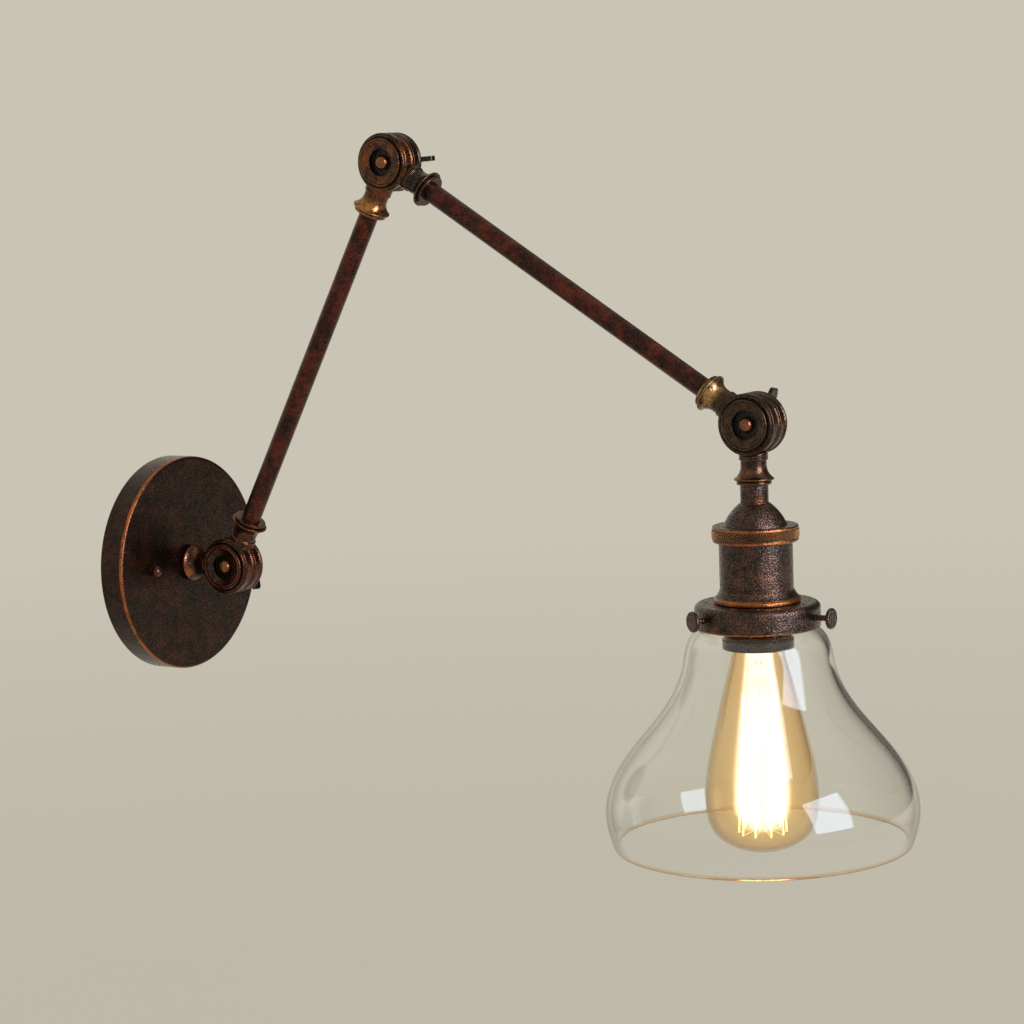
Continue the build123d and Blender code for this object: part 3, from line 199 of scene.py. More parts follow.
# the main light is a diffusing panel as soft as a curtained window; clear glass, which mirrors it
# sharply, shows it as a pale blue pane, and metal shows its full light
PANEL_AT, PANEL_AIM = Vector((-0.35, -2.4, 0.75)), Vector((0, -0.3, 0.0))
PANEL_WIDTH, PANEL_HEIGHT, PANEL_LIGHT = 1.2, 1.5, 11.0
PANEL_WHITE, PANEL_IN_GLASS = "#FBFCFF", "#A6B0C2"
diffuser, tree, shader, place = new_material("diffusing_panel")
tree.nodes.remove(shader)
rays = add_node(tree, "ShaderNodeLightPath")
pane = add_node(tree, "ShaderNodeMix", {"data_type": "RGBA", 6: linear(PANEL_WHITE), 7: linear(PANEL_IN_GLASS)},
                in_0=rays.outputs["Is Singular Ray"])
back = add_node(tree, "ShaderNodeNewGeometry").outputs["Backfacing"]
front = add_node(tree, "ShaderNodeMath", {"operation": "SUBTRACT", 0: 1.0}, in_1=back)
front = add_node(tree, "ShaderNodeMath", {"operation": "MULTIPLY", 1: PANEL_LIGHT}, in_0=front.outputs[0])
light = add_node(tree, "ShaderNodeEmission", in_0=pane.outputs[2], in_1=front.outputs[0])
set_output(tree, light.outputs[0])
panel_turn = (PANEL_AIM - PANEL_AT).to_track_quat("Z", "Y").to_matrix().to_4x4()
panel_mesh = bpy.data.meshes.new("diffusing_panel")
panel_mesh.from_pydata([(x * PANEL_WIDTH / 2, y * PANEL_HEIGHT / 2, 0) for x, y in CORNERS], [], [(0, 1, 2, 3)])
panel_mesh.transform(Matrix.Translation(PANEL_AT) @ panel_turn)
panel_mesh.materials.append(diffuser)
panel = bpy.data.objects.new("diffusing_panel", panel_mesh)
panel.visible_camera = False
scene.collection.objects.link(panel)

# ---- Castings: the knuckles, the pivot bolts and the wing nuts ----
# Brass castings, turned, then blackened in an oil-rubbed bath and hand rubbed, so the bare copper
# colour shows on beads and edges and the hollows stay nearly black; the hollows are drawn darker still
# with painted shade. Each half barrel and its neck are one casting; the halves are clamped together on a bolt by the
# wing nut.
HEAD_Y, HEAD_Z = -0.374220, 0.086369
PIVOTS = ((0, -0.045, 0), (0, -0.163138, 0.220326), (0, HEAD_Y, HEAD_Z))
BOLT_RECESS, NECK_START = (0.0070, 0.0077), (0.0205, 0.0235)  # from a pivot, each with its soft edge


def rubbed_bronze(name, dark, brown, copper, rub, gloss, grain, edge_rub=1.0, neck=None, bands=(), band_axis=2):
    """Oil-rubbed bronze: near-black skin, brown clouds, a fine mottle and bare copper on the edges,
    with painted shade in the hollows. On a knuckle, which is given its neck's rub and gold (partly a painted
    highlight), the bolt's recess is painted black as shade. Bands are (middle, reach, rub) in metres along an
    axis: 2 is height and 1 is the way to the wall. Rub is how much of the worn patches is bare, gloss the wax coat and
    grain the depth of the mottle."""
    material, tree, shader, place = new_material(name)
    clouds = add_node(tree, "ShaderNodeTexNoise", {"Scale": 120.0, "Detail": 6.0, "Roughness": 0.75}, Vector=place)
    cloud_tone = add_node(tree, "ShaderNodeValToRGB", in_0=clouds.outputs["Fac"])
    cloud_tone.color_ramp.elements[0].position = 0.42
    cloud_tone.color_ramp.elements[0].color = linear(dark)
    cloud_tone.color_ramp.elements[1].position = 0.64
    cloud_tone.color_ramp.elements[1].color = linear(brown)
    # the real mottle is about 0.4 mm; it is drawn at 0.8 mm so that it shows
    mottle = add_node(tree, "ShaderNodeTexNoise", {"Scale": 1300.0, "Detail": 2.0}, Vector=place)
    mottle_tone = add_node(tree, "ShaderNodeMapRange", {1: 0.38, 2: 0.64, 3: 1 - 0.35 * grain, 4: 1 + 0.35 * grain},
                           Value=mottle.outputs["Fac"])
    # painted shade: the skin is darkened in hollows and creases from ambient occlusion, and edges lose their skin
    hollow = add_node(tree, "ShaderNodeAmbientOcclusion", {"samples": 4, "only_local": True, "Distance": 0.005})
    painted_hollow_shade = add_node(tree, "ShaderNodeMapRange", {1: 0.45, 2: 0.95, 3: 0.15, 4: 1.0}, Value=hollow.outputs["AO"])
    depth = add_node(tree, "ShaderNodeMath", {"operation": "MULTIPLY"}, in_0=mottle_tone.outputs[0],
                     in_1=painted_hollow_shade.outputs[0])
    round_normal = add_node(tree, "ShaderNodeBevel", {"samples": 8, "Radius": 0.0006})
    flat_normal = add_node(tree, "ShaderNodeNewGeometry")
    sharp = add_node(tree, "ShaderNodeVectorMath", {"operation": "DOT_PRODUCT"}, in_0=round_normal.outputs[0],
                     in_1=flat_normal.outputs["Normal"])
    edge = add_node(tree, "ShaderNodeMapRange", {1: 0.985, 2: 0.92, 3: 0.0, 4: edge_rub},
                    Value=sharp.outputs["Value"])
    proud = add_node(tree, "ShaderNodeMapRange", {1: 0.6, 2: 0.92, 3: 0.0, 4: 1.0}, Value=hollow.outputs["AO"])
    patches = add_node(tree, "ShaderNodeTexNoise", {"Scale": 95.0, "Detail": 6.0, "Roughness": 0.8}, Vector=place)
    uneven = add_node(tree, "ShaderNodeMapRange", {1: 0.58, 2: 0.74, 3: 0.0, 4: rub}, Value=patches.outputs["Fac"])
    worn = add_node(tree, "ShaderNodeMath", {"operation": "MAXIMUM"}, in_0=edge.outputs[0], in_1=uneven.outputs[0])
    # bands that hands or the turning rub bare, broken up by the patches; close above the bulb such a band is also a
    # painted glow of its light
    for middle, reach, amount in bands:
        along = add_node(tree, "ShaderNodeSeparateXYZ", in_0=place)
        off = add_node(tree, "ShaderNodeMath", {"operation": "SUBTRACT", 1: middle}, in_0=along.outputs[band_axis])
        off = add_node(tree, "ShaderNodeMath", {"operation": "ABSOLUTE"}, in_0=off.outputs[0])
        inside = add_node(tree, "ShaderNodeMapRange", {1: reach * 0.7, 2: reach, 3: amount, 4: 0.0},
                          Value=off.outputs[0])
        ragged = add_node(tree, "ShaderNodeMapRange", {1: 0.38, 2: 0.56, 3: 0.25, 4: 1.0},
                          Value=patches.outputs["Fac"])
        band = add_node(tree, "ShaderNodeMath", {"operation": "MULTIPLY"}, in_0=inside.outputs[0],
                        in_1=ragged.outputs[0])
        worn = add_node(tree, "ShaderNodeMath", {"operation": "MAXIMUM"}, in_0=worn.outputs[0], in_1=band.outputs[0])
    # a knuckle's neck is handled and carries a painted highlight, and the recess round its bolt is painted nearly
    # black as shade
    if neck is not None:
        neck_rub_and_sheen, neck_gold_and_sheen = neck
        across = add_node(tree, "ShaderNodeVectorMath", {"operation": "MULTIPLY", 1: (0, 1, 1)}, in_0=place)
        nearest = None
        for pivot in PIVOTS:
            away = add_node(tree, "ShaderNodeVectorMath", {"operation": "DISTANCE", 1: pivot}, in_0=across.outputs[0])
            nearest = away.outputs["Value"] if nearest is None else add_node(
                tree, "ShaderNodeMath", {"operation": "MINIMUM"}, in_0=nearest, in_1=away.outputs["Value"]
            ).outputs[0]
        painted_recess_shade = add_node(tree, "ShaderNodeMapRange", {1: BOLT_RECESS[0], 2: BOLT_RECESS[1], 3: 0.12, 4: 1.0},
                         Value=nearest)
        depth = add_node(tree, "ShaderNodeMath", {"operation": "MULTIPLY"}, in_0=depth.outputs[0],
                         in_1=painted_recess_shade.outputs[0])
        proud = add_node(tree, "ShaderNodeMath", {"operation": "MULTIPLY"}, in_0=proud.outputs[0],
                         in_1=painted_recess_shade.outputs[0])
        # the neck's gold is partly wear and partly a painted highlight of the panel's light
        on_the_neck = add_node(tree, "ShaderNodeMapRange", {1: NECK_START[0], 2: NECK_START[1], 3: 0.0, 4: 1.0},
                        Value=nearest)
        handled_and_lit = add_node(tree, "ShaderNodeMapRange", {1: 0.42, 2: 0.6, 3: 0.0, 4: neck_rub_and_sheen},
                           Value=patches.outputs["Fac"])
        golden_wear_and_sheen = add_node(tree, "ShaderNodeMath", {"operation": "MULTIPLY"}, in_0=on_the_neck.outputs[0],
                          in_1=handled_and_lit.outputs[0])
        worn = add_node(tree, "ShaderNodeMath", {"operation": "MAXIMUM"}, in_0=worn.outputs[0], in_1=golden_wear_and_sheen.outputs[0])
    worn = add_node(tree, "ShaderNodeMath", {"operation": "MULTIPLY", "use_clamp": True}, in_0=worn.outputs[0],
                    in_1=proud.outputs[0])
    skin = add_node(tree, "ShaderNodeVectorMath", {"operation": "SCALE"}, in_0=cloud_tone.outputs[0],
                    Scale=depth.outputs[0])
    bare_metal = add_node(tree, "ShaderNodeMix", {"data_type": "RGBA", 6: linear(copper), 7: linear(copper)})
    if neck is not None:
        bare_metal.inputs[7].default_value = linear(neck_gold_and_sheen)
        tree.links.new(on_the_neck.outputs[0], bare_metal.inputs[0])
    colour = add_node(tree, "ShaderNodeMix", {"data_type": "RGBA"}, in_0=worn.outputs[0], in_6=skin.outputs[0],
                      in_7=bare_metal.outputs[2])
    tree.links.new(colour.outputs[2], shader.inputs["Base Color"])
    bare = add_node(tree, "ShaderNodeMapRange", {1: 0.0, 2: 1.0, 3: 0.85, 4: 0.97}, Value=worn.outputs[0])
    tree.links.new(bare.outputs[0], shader.inputs["Metallic"])
    dull, polished = 0.28 + 0.14 * grain, 0.13 + 0.09 * grain
    satin = add_node(tree, "ShaderNodeMapRange", {1: 0.35, 2: 0.65, 3: dull, 4: polished},
                     Value=mottle.outputs["Fac"])
    tree.links.new(satin.outputs[0], shader.inputs["Roughness"])
    bump = add_node(tree, "ShaderNodeBump", {"Strength": 0.8, "Distance": 0.0005 * grain},
                    Height=mottle.outputs["Fac"], Normal=round_normal.outputs[0])
    tree.links.new(bump.outputs[0], shader.inputs["Normal"])
    tree.links.new(bump.outputs[0], shader.inputs["Coat Normal"])
    wax = add_node(tree, "ShaderNodeMapRange", {1: 0.40, 2: 0.58, 3: 0.0, 4: gloss}, Value=mottle.outputs["Fac"])
    tree.links.new(wax.outputs[0], shader.inputs["Coat Weight"])
    shader.inputs["Coat Roughness"].default_value = 0.24
    return material


def finish(material, *nodes):
    """Give CAD nodes that are shown as they are their finish."""
    for name in nodes:
        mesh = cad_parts[name].data
        mesh.materials.clear()
        mesh.materials.append(material)


# each casting is worn in its own way: the elbow is the most rubbed and the head's the least. A neck's gold is partly
# handling wear and partly a painted highlight, strongest on the two necks that face the panel: the elbow's lower one
# and the head's arm one
CASTING_GLOSS, CASTING_GRAIN = 0.7, 0.22
for knuckle, half, dark, brown, copper, rub, edge_rub, neck in (
    ("base", "wall_half", "#26140E", "#64301B", "#B4642F", 0.45, 0.8, (0.7, "#B87440")),
    ("base", "arm_half", "#26140E", "#64301B", "#B4642F", 0.45, 0.8, (0.15, "#A65E36")),
    ("elbow", "lower_half", "#1E110B", "#7E4420", "#B87440", 0.5, 0.6, (1.0, "#BC8048")),
    ("elbow", "upper_half", "#17110F", "#3E271C", "#B07040", 0.15, 0.4, (0.2, "#A86A3C")),
    ("head", "arm_half", "#1D140F", "#4E321E", "#A06C3C", 0.3, 0.45, (1.0, "#C2965E")),
    ("head", "lamp_half", "#1D1411", "#56321F", "#B07038", 0.3, 0.6, (0.35, "#C07C3C")),
):
    cast = rubbed_bronze(f"oil_rubbed_bronze_{knuckle}_{half}", dark, brown, copper, rub, CASTING_GLOSS,
                         CASTING_GRAIN, edge_rub=edge_rub, neck=neck)
    finish(cast, f"{knuckle}_knuckle_{half}")

# the bolts' dome heads stand proud and are polished by every hand; the wing nuts stay darker
bolt_copper = rubbed_bronze("polished_bolt_copper", "#6E3D20", "#9C6030", "#E0A868", 0.7, 0.9, 0.15,
                            edge_rub=0.3)
finish(bolt_copper, "base_pivot_bolt", "elbow_pivot_bolt", "head_pivot_bolt")
wing_bronze = rubbed_bronze("oil_rubbed_bronze_wing_nut", "#121113", "#1E191B", "#8A6644", 0.1, 0.9, 0.2,
                            edge_rub=0.3)
finish(wing_bronze, "base_wing_nut", "elbow_wing_nut", "head_wing_nut")

# The friction rings between the half barrels are black vulcanised fibre, punched from sheet; a
# clamped ring holds the arm where it is put. Only their edges show, in the parting lines.
fibre, tree, shader, place = new_material("black_vulcanised_fibre")
fuzz = add_node(tree, "ShaderNodeTexNoise", {"Scale": 900.0, "Detail": 3.0}, Vector=place)
tone = two_tones(tree, fuzz.outputs["Fac"], "#0E0C0B", "#26211E")
tree.links.new(tone, shader.inputs["Base Color"])
shader.inputs["Roughness"].default_value = 0.85
finish(fibre, "base_friction_ring", "elbow_friction_ring", "head_friction_ring")

# ---- Canopy and arm tubes ----
# The canopy is spun from steel sheet and the arms are drawn steel tube. Both have the same dark
# bronze bath as the castings, less rubbed, so they look darker and smoother.
# The pan's front edge is turned over a former, and its copper line is rubbed bare.
CANOPY_EDGE_Y = -0.0139
sheet_bronze = rubbed_bronze("oil_rubbed_bronze_canopy", "#22150F", "#44241A", "#C06A36", 0.12, 0.4, 0.5,
                             bands=[(CANOPY_EDGE_Y, 0.0009, 0.85)], band_axis=1)
finish(sheet_bronze, "canopy")
nut_bronze = rubbed_bronze("oil_rubbed_bronze_cap_nut", "#1E1110", "#6A3018", "#CC6C34", 0.8, 0.9, 0.15,
                           edge_rub=0.4)
finish(nut_bronze, "canopy_cap_nuts")
tube_bronze = rubbed_bronze("oil_rubbed_bronze_tube", "#2A140F", "#642A1A", "#9A502C", 0.2, 0.4, 0.45)
finish(tube_bronze, "lower_arm_tube", "upper_arm_tube")

# The crossbar, its nuts and studs, the threaded pipes and the washers are mild steel, zinc plated:
# a pale, slightly blue satin metal with faint rolling marks.
zinc, tree, shader, place = new_material("zinc_plated_steel")
marks = add_node(tree, "ShaderNodeTexNoise", {"Scale": 300.0, "Detail": 4.0}, Vector=place)
tone = two_tones(tree, marks.outputs["Fac"], "#8E9091", "#B4B5B2")
tree.links.new(tone, shader.inputs["Base Color"])
marks_gloss = add_node(tree, "ShaderNodeMapRange", {1: 0.3, 2: 0.7, 3: 0.30, 4: 0.45},
                       Value=marks.outputs["Fac"])
tree.links.new(marks_gloss.outputs[0], shader.inputs["Roughness"])
shader.inputs["Metallic"].default_value = 1.0
finish(
    zinc,
    "crossbar", "stud_nuts", "canopy_studs", "base_pipe", "base_lock_washer", "base_pipe_nut",
    "head_pipe", "head_pipe_nut", "base_nut_washer", "elbow_nut_washer", "head_nut_washer",
)

# ---- Lampholder and gallery ----
# Spun and turned brass with the rubbed bronze finish, handled more than the arms: copper shows on
# the knurled ring's plain edges, on the skirt's bead and on the gallery's lower rim. The gallery's lower rim
# faces the bulb, and its copper line is partly a painted glow of the bulb's light.
RING_TOP_EDGE, RING_LOWER_EDGE, SKIRT_BEAD, GALLERY_RIM, SHADE_RING_EDGE = (
    HEAD_Z - level for level in (0.0513, 0.0579, 0.0873, 0.1011, 0.1041)
)
holder_bronze = rubbed_bronze("oil_rubbed_bronze_holder", "#211714", "#58362A", "#BC6C30", 0.45, 1.0, 0.85,
                              bands=[(SKIRT_BEAD, 0.0016, 0.8), (RING_TOP_EDGE, 0.0007, 0.8),
                                     (RING_LOWER_EDGE, 0.0007, 0.8), (GALLERY_RIM, 0.0006, 0.9)])
finish(
    holder_bronze,
    "holder_cap", "set_screw", "knurled_ring", "holder_body", "gallery",
    "thumb_screw_room", "thumb_screw_left", "thumb_screw_right",
)
# the rings under the gallery are drawn nearly black, but for the shade ring's lower edge: a copper line that is partly
# bare metal and partly a painted glow of the bulb's light
ring_bronze = rubbed_bronze("oil_rubbed_bronze_rings", "#15100F", "#33221B", "#C27A42", 0.2, 0.9, 0.4,
                            edge_rub=0.6, bands=[(SHADE_RING_EDGE, 0.0005, 0.9)])
finish(ring_bronze, "threaded_sleeve", "shade_ring", "end_ring")

# the knurl's points are bare and its hollows black, told apart by their radius; the points' pale colour is partly a
# painted highlight and the hollows' near black partly painted shade
KNURL_HOLLOW_RADIUS, KNURL_POINT_RADIUS = 0.02139, 0.02150
knurl_bronze, tree, shader, place = new_material("oil_rubbed_bronze_knurl")
about = add_node(tree, "ShaderNodeVectorMath", {"operation": "SUBTRACT", 1: (0, HEAD_Y, 0)}, in_0=place)
about = add_node(tree, "ShaderNodeVectorMath", {"operation": "MULTIPLY", 1: (1, 1, 0)}, in_0=about.outputs[0])
about = add_node(tree, "ShaderNodeVectorMath", {"operation": "LENGTH"}, in_0=about.outputs[0])
point_wear_and_painted_light = add_node(tree, "ShaderNodeMapRange", {1: KNURL_HOLLOW_RADIUS, 2: KNURL_POINT_RADIUS, 3: 0.0, 4: 1.0},
                 Value=about.outputs["Value"])
tone = two_tones(tree, point_wear_and_painted_light.outputs[0], "#060404", "#CB9F76")
tree.links.new(tone, shader.inputs["Base Color"])
shader.inputs["Metallic"].default_value = 0.85
shader.inputs["Roughness"].default_value = 0.22

# The knurl is rolled into the union ring's band: rows of small diamond points, 1.42 mm across the
# corners, staggered so that their hollows cross. It stands on the band that the ring leaves for it.
KNURL_RADIUS, KNURL_TOP, KNURL_PITCH, KNURL_AROUND, KNURL_ROWS = 0.02114, 0.0519, 0.00142, 94, 6


def finish_by_nodes(name, group, material, inputs):
    """Run a node group on an empty mesh and return its result as a plain mesh object."""
    carrier = bpy.data.objects.new(name, bpy.data.meshes.new(name))
    scene.collection.objects.link(carrier)
    modifier = carrier.modifiers.new(name, "NODES")
    modifier.node_group = group
    for item in group.interface.items_tree:
        if item.item_type == "SOCKET" and item.in_out == "INPUT" and item.name in inputs:
            modifier[item.identifier] = inputs[item.name]
    bpy.context.view_layer.update()
    evaluated = carrier.evaluated_get(bpy.context.evaluated_depsgraph_get())
    mesh = bpy.data.meshes.new_from_object(evaluated)
    carrier.modifiers.clear()
    carrier.data = mesh
    if not mesh.materials:
        mesh.materials.append(material)
    return carrier


knurl = bpy.data.node_groups.new("rolled_knurl", "GeometryNodeTree")
knurl.interface.new_socket("Material", in_out="INPUT", socket_type="NodeSocketMaterial")
for socket_name in ("Radius", "Pitch", "Middle Y", "Top Z"):
    knurl.interface.new_socket(socket_name, in_out="INPUT", socket_type="NodeSocketFloat")
for socket_name in ("Around", "Rows"):
    knurl.interface.new_socket(socket_name, in_out="INPUT", socket_type="NodeSocketInt")
knurl.interface.new_socket("Geometry", in_out="OUTPUT", socket_type="NodeSocketGeometry")
given = add_node(knurl, "NodeGroupInput").outputs
total = add_node(knurl, "ShaderNodeMath", {"operation": "MULTIPLY"}, in_0=given["Around"], in_1=given["Rows"])
points = add_node(knurl, "GeometryNodePoints", Count=total.outputs[0])
index = add_node(knurl, "GeometryNodeInputIndex").outputs[0]
row = add_node(knurl, "ShaderNodeMath", {"operation": "DIVIDE"}, in_0=index, in_1=given["Around"])
row = add_node(knurl, "ShaderNodeMath", {"operation": "FLOOR"}, in_0=row.outputs[0])
shift = add_node(knurl, "ShaderNodeMath", {"operation": "MULTIPLY", 1: 0.5}, in_0=row.outputs[0])
step = add_node(knurl, "ShaderNodeMath", {"operation": "ADD"}, in_0=index, in_1=shift.outputs[0])
turn = add_node(knurl, "ShaderNodeMath", {"operation": "DIVIDE"}, in_0=step.outputs[0], in_1=given["Around"])
angle = add_node(knurl, "ShaderNodeMath", {"operation": "MULTIPLY", 1: math.tau}, in_0=turn.outputs[0])
cosine = add_node(knurl, "ShaderNodeMath", {"operation": "COSINE"}, in_0=angle.outputs[0])
sine = add_node(knurl, "ShaderNodeMath", {"operation": "SINE"}, in_0=angle.outputs[0])
outward = add_node(knurl, "ShaderNodeCombineXYZ", in_0=cosine.outputs[0], in_1=sine.outputs[0])
half_pitch = add_node(knurl, "ShaderNodeMath", {"operation": "MULTIPLY", 1: 0.5}, in_0=given["Pitch"])
drop = add_node(knurl, "ShaderNodeMath", {"operation": "MULTIPLY"}, in_0=row.outputs[0],
                in_1=half_pitch.outputs[0])
drop = add_node(knurl, "ShaderNodeMath", {"operation": "ADD"}, in_0=drop.outputs[0], in_1=half_pitch.outputs[0])
level = add_node(knurl, "ShaderNodeMath", {"operation": "SUBTRACT"}, in_0=given["Top Z"], in_1=drop.outputs[0])
middle = add_node(knurl, "ShaderNodeCombineXYZ", in_1=given["Middle Y"], in_2=level.outputs[0])
reach = add_node(knurl, "ShaderNodeVectorMath", {"operation": "SCALE"}, in_0=outward.outputs[0],
                 Scale=given["Radius"])
spot = add_node(knurl, "ShaderNodeVectorMath", {"operation": "ADD"}, in_0=reach.outputs[0], in_1=middle.outputs[0])
placed = add_node(knurl, "GeometryNodeSetPosition", Geometry=points.outputs[0], Position=spot.outputs[0])
diamond = add_node(knurl, "GeometryNodeMeshCone", {"fill_type": "NONE", "Vertices": 4, "Radius Top": 0.0},
                   Radius_Bottom=half_pitch.outputs[0], Depth=half_pitch.outputs[0])
facing = add_node(knurl, "FunctionNodeAxesToRotation",
                  {"primary_axis": "Z", "secondary_axis": "X", 1: (0, 0, 1)}, in_0=outward.outputs[0])
studded = add_node(knurl, "GeometryNodeInstanceOnPoints", Points=placed.outputs[0],
                   Instance=diamond.outputs["Mesh"], Rotation=facing.outputs[0])
real = add_node(knurl, "GeometryNodeRealizeInstances", in_0=studded.outputs[0])
painted = add_node(knurl, "GeometryNodeSetMaterial", Geometry=real.outputs[0], Material=given["Material"])
add_node(knurl, "NodeGroupOutput", in_0=painted.outputs[0])
knurl_points = finish_by_nodes("knurl_points", knurl, knurl_bronze, {
    "Material": knurl_bronze, "Radius": KNURL_RADIUS, "Pitch": KNURL_PITCH, "Middle Y": HEAD_Y,
    "Top Z": HEAD_Z - KNURL_TOP, "Around": KNURL_AROUND, "Rows": KNURL_ROWS,
})
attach(knurl_points, "lamp_head")

# ---- Socket ----
# The insert is black phenolic, compression moulded; the shell, contact and screws are bare brass
# strip and rod. All of it sits in the sleeve, and only its mouth shows round the bulb's neck.
phenolic, tree, shader, place = new_material("moulded_black_phenolic")
flow = add_node(tree, "ShaderNodeTexNoise", {"Scale": 120.0, "Detail": 2.0}, Vector=place)
tone = two_tones(tree, flow.outputs["Fac"], "#121110", "#201D1B")
tree.links.new(tone, shader.inputs["Base Color"])
shader.inputs["Roughness"].default_value = 0.35
finish(phenolic, "socket_insert", "bulb_insulator")

brass, tree, shader, place = new_material("dulled_brass")
tarnish = add_node(tree, "ShaderNodeTexNoise", {"Scale": 220.0, "Detail": 4.0}, Vector=place)
tone = two_tones(tree, tarnish.outputs["Fac"], "#9C7A3E", "#C9A35A")
tree.links.new(tone, shader.inputs["Base Color"])
shader.inputs["Metallic"].default_value = 1.0
shader.inputs["Roughness"].default_value = 0.35
finish(brass, "terminal_screws", "screw_shell", "centre_contact", "earth_screw", "bulb_base")

# ---- Glass bell ----
# Clear soda glass, blown in a mould: a lip and waist that the thumb screws hold, a rounded
# shoulder, a long curve to a full belly and a fire-polished rim. About 2.4 mm thick.
ON_AXIS = 1e-7  # a smaller radius is a single point on the lamp's axis


def smooth_line(points, steps):
    """A smooth curve through (radius, level) points: natural cubic splines over the chord."""
    p = np.array(points, float)
    t = np.concatenate([[0], np.cumsum(np.linalg.norm(np.diff(p, axis=0), axis=1))])
    h = np.diff(t)
    n = len(p)
    a = np.zeros((n, n))
    b = np.zeros((n, 2))
    a[0, 0] = a[-1, -1] = 1
    for i in range(1, n - 1):
        a[i, i - 1 : i + 2] = h[i - 1], 2 * (h[i - 1] + h[i]), h[i]
        b[i] = 6 * ((p[i + 1] - p[i]) / h[i] - (p[i] - p[i - 1]) / h[i - 1])
    m = np.linalg.solve(a, b)
    at = np.linspace(0, t[-1], steps)
    k = np.clip(np.searchsorted(t, at, "right") - 1, 0, n - 2)
    u, v, w = (at - t[k])[:, None], (t[k + 1] - at)[:, None], h[k][:, None]
    return (
        m[k] * v**3 / (6 * w) + m[k + 1] * u**3 / (6 * w)
        + (p[k] / w - m[k] * w / 6) * v + (p[k + 1] / w - m[k + 1] * w / 6) * u
    )


def blown_wall(points, wall, steps):
    """A glass wall's closed outline: the outside line, the rim, the inside line and the lip."""
    outside = smooth_line(points, steps)
    along = np.gradient(outside, axis=0)
    along /= np.linalg.norm(along, axis=1)[:, None]
    inward = np.stack([-along[:, 1], along[:, 0]], 1)
    inside = outside + inward * wall
    inside[:, 0] = np.maximum(inside[:, 0], 0)
    turns = np.linspace(0, math.pi, 9)[1:-1]  # the ends are half rounds
    middle, out_way, end_way = (outside[-1] + inside[-1]) / 2, -inward[-1], along[-1]
    rim = [middle + wall / 2 * (math.cos(t) * out_way + math.sin(t) * end_way) for t in turns]
    middle, in_way, end_way = (outside[0] + inside[0]) / 2, inward[0], -along[0]
    lip = [middle + wall / 2 * (math.cos(t) * in_way + math.sin(t) * end_way) for t in turns]
    return outside, np.array(rim), inside[::-1], np.array(lip)


def turned_mesh(name, outline, around, material):
    """Turn a closed outline of (radius, level below the head pivot) about the lamp's axis."""
    rings = len(outline)
    angles = np.linspace(0, math.tau, around, endpoint=False)
    vertices, ring_at = [], []
    for radius, level in outline:
        count = 1 if radius < ON_AXIS else around
        ring_at.append((len(vertices), count))
        for angle in angles[:count]:
            vertices.append((radius * math.cos(angle), HEAD_Y + radius * math.sin(angle), HEAD_Z - level))
    faces = []
    for i in range(rings):
        (a, na), (b, nb) = ring_at[i], ring_at[(i + 1) % rings]
        for j in range(around):
            k = (j + 1) % around
            corners = list(dict.fromkeys((a + j % na, a + k % na, b + k % nb, b + j % nb)))
            if len(corners) > 2:
                faces.append(corners)
    mesh = bpy.data.meshes.new(name)
    mesh.from_pydata(vertices, [], faces)
    mesh.validate()
    work = bmesh.new()
    work.from_mesh(mesh)
    bmesh.ops.recalc_face_normals(work, faces=work.faces)
    work.to_mesh(mesh)
    work.free()
    mesh.shade_smooth()
    mesh.materials.append(material)
    piece = bpy.data.objects.new(name, mesh)
    scene.collection.objects.link(piece)
    return piece


# clear soda glass, fire polished: clear in the middle, darker where it is seen edge on
GLASS_IOR = 1.5
clear_glass, tree, shader, place = new_material("clear_blown_soda_glass")
seeds = add_node(tree, "ShaderNodeTexNoise", {"Scale": 14.0, "Detail": 2.0}, Vector=place)
tone = two_tones(tree, seeds.outputs["Fac"], "#FAFBF8", "#FFFFFD")
slant = add_node(tree, "ShaderNodeLayerWeight", {"Blend": 0.5})
thick = add_node(tree, "ShaderNodeMapRange", {1: 0.64, 2: 0.93, 3: 0.0, 4: 1.0},
                 Value=slant.outputs["Facing"])
deep = add_node(tree, "ShaderNodeMix", {"data_type": "RGBA", 7: linear("#3C362F")}, in_0=thick.outputs[0],
                in_6=tone)
level = add_node(tree, "ShaderNodeSeparateXYZ", in_0=place)
# painted light: the fire-polished rim gathers the bulb's light in a warm line, drawn as a warm tint of the glass at
# its lowest level
RIM_END_Z, RIM_GLOW_TOP_Z, RIM_PAINTED_GLOW = -0.1243, -0.1228, 0.75
rim_glow_band = add_node(tree, "ShaderNodeMapRange", {1: RIM_END_Z, 2: RIM_GLOW_TOP_Z, 3: RIM_PAINTED_GLOW, 4: 0.0},
                    Value=level.outputs[2])
painted_rim_glow = add_node(tree, "ShaderNodeMix", {"data_type": "RGBA", 7: linear("#E0B078")}, in_0=rim_glow_band.outputs[0],
                in_6=deep.outputs[2])
tree.links.new(painted_rim_glow.outputs[2], shader.inputs["Base Color"])
shader.inputs["Transmission Weight"].default_value = 1.0
shader.inputs["Roughness"].default_value = 0.0
shader.inputs["IOR"].default_value = GLASS_IOR

BELL_WALL, BELL_STEPS, BELL_AROUND = 0.0024, 90, 192
BELL_OUTSIDE = [
    (0.0280, 0.0921), (0.0264, 0.0957), (0.0330, 0.1049), (0.0380, 0.1204), (0.0465, 0.1399),
    (0.0636, 0.1614), (0.0756, 0.1804), (0.0786, 0.1954), (0.0752, 0.2109),
]
bell_wall = np.vstack(blown_wall(BELL_OUTSIDE, BELL_WALL, BELL_STEPS))
bell = turned_mesh("glass_bell", bell_wall, BELL_AROUND, clear_glass)
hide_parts("glass_shade")
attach(bell, "lamp_head")

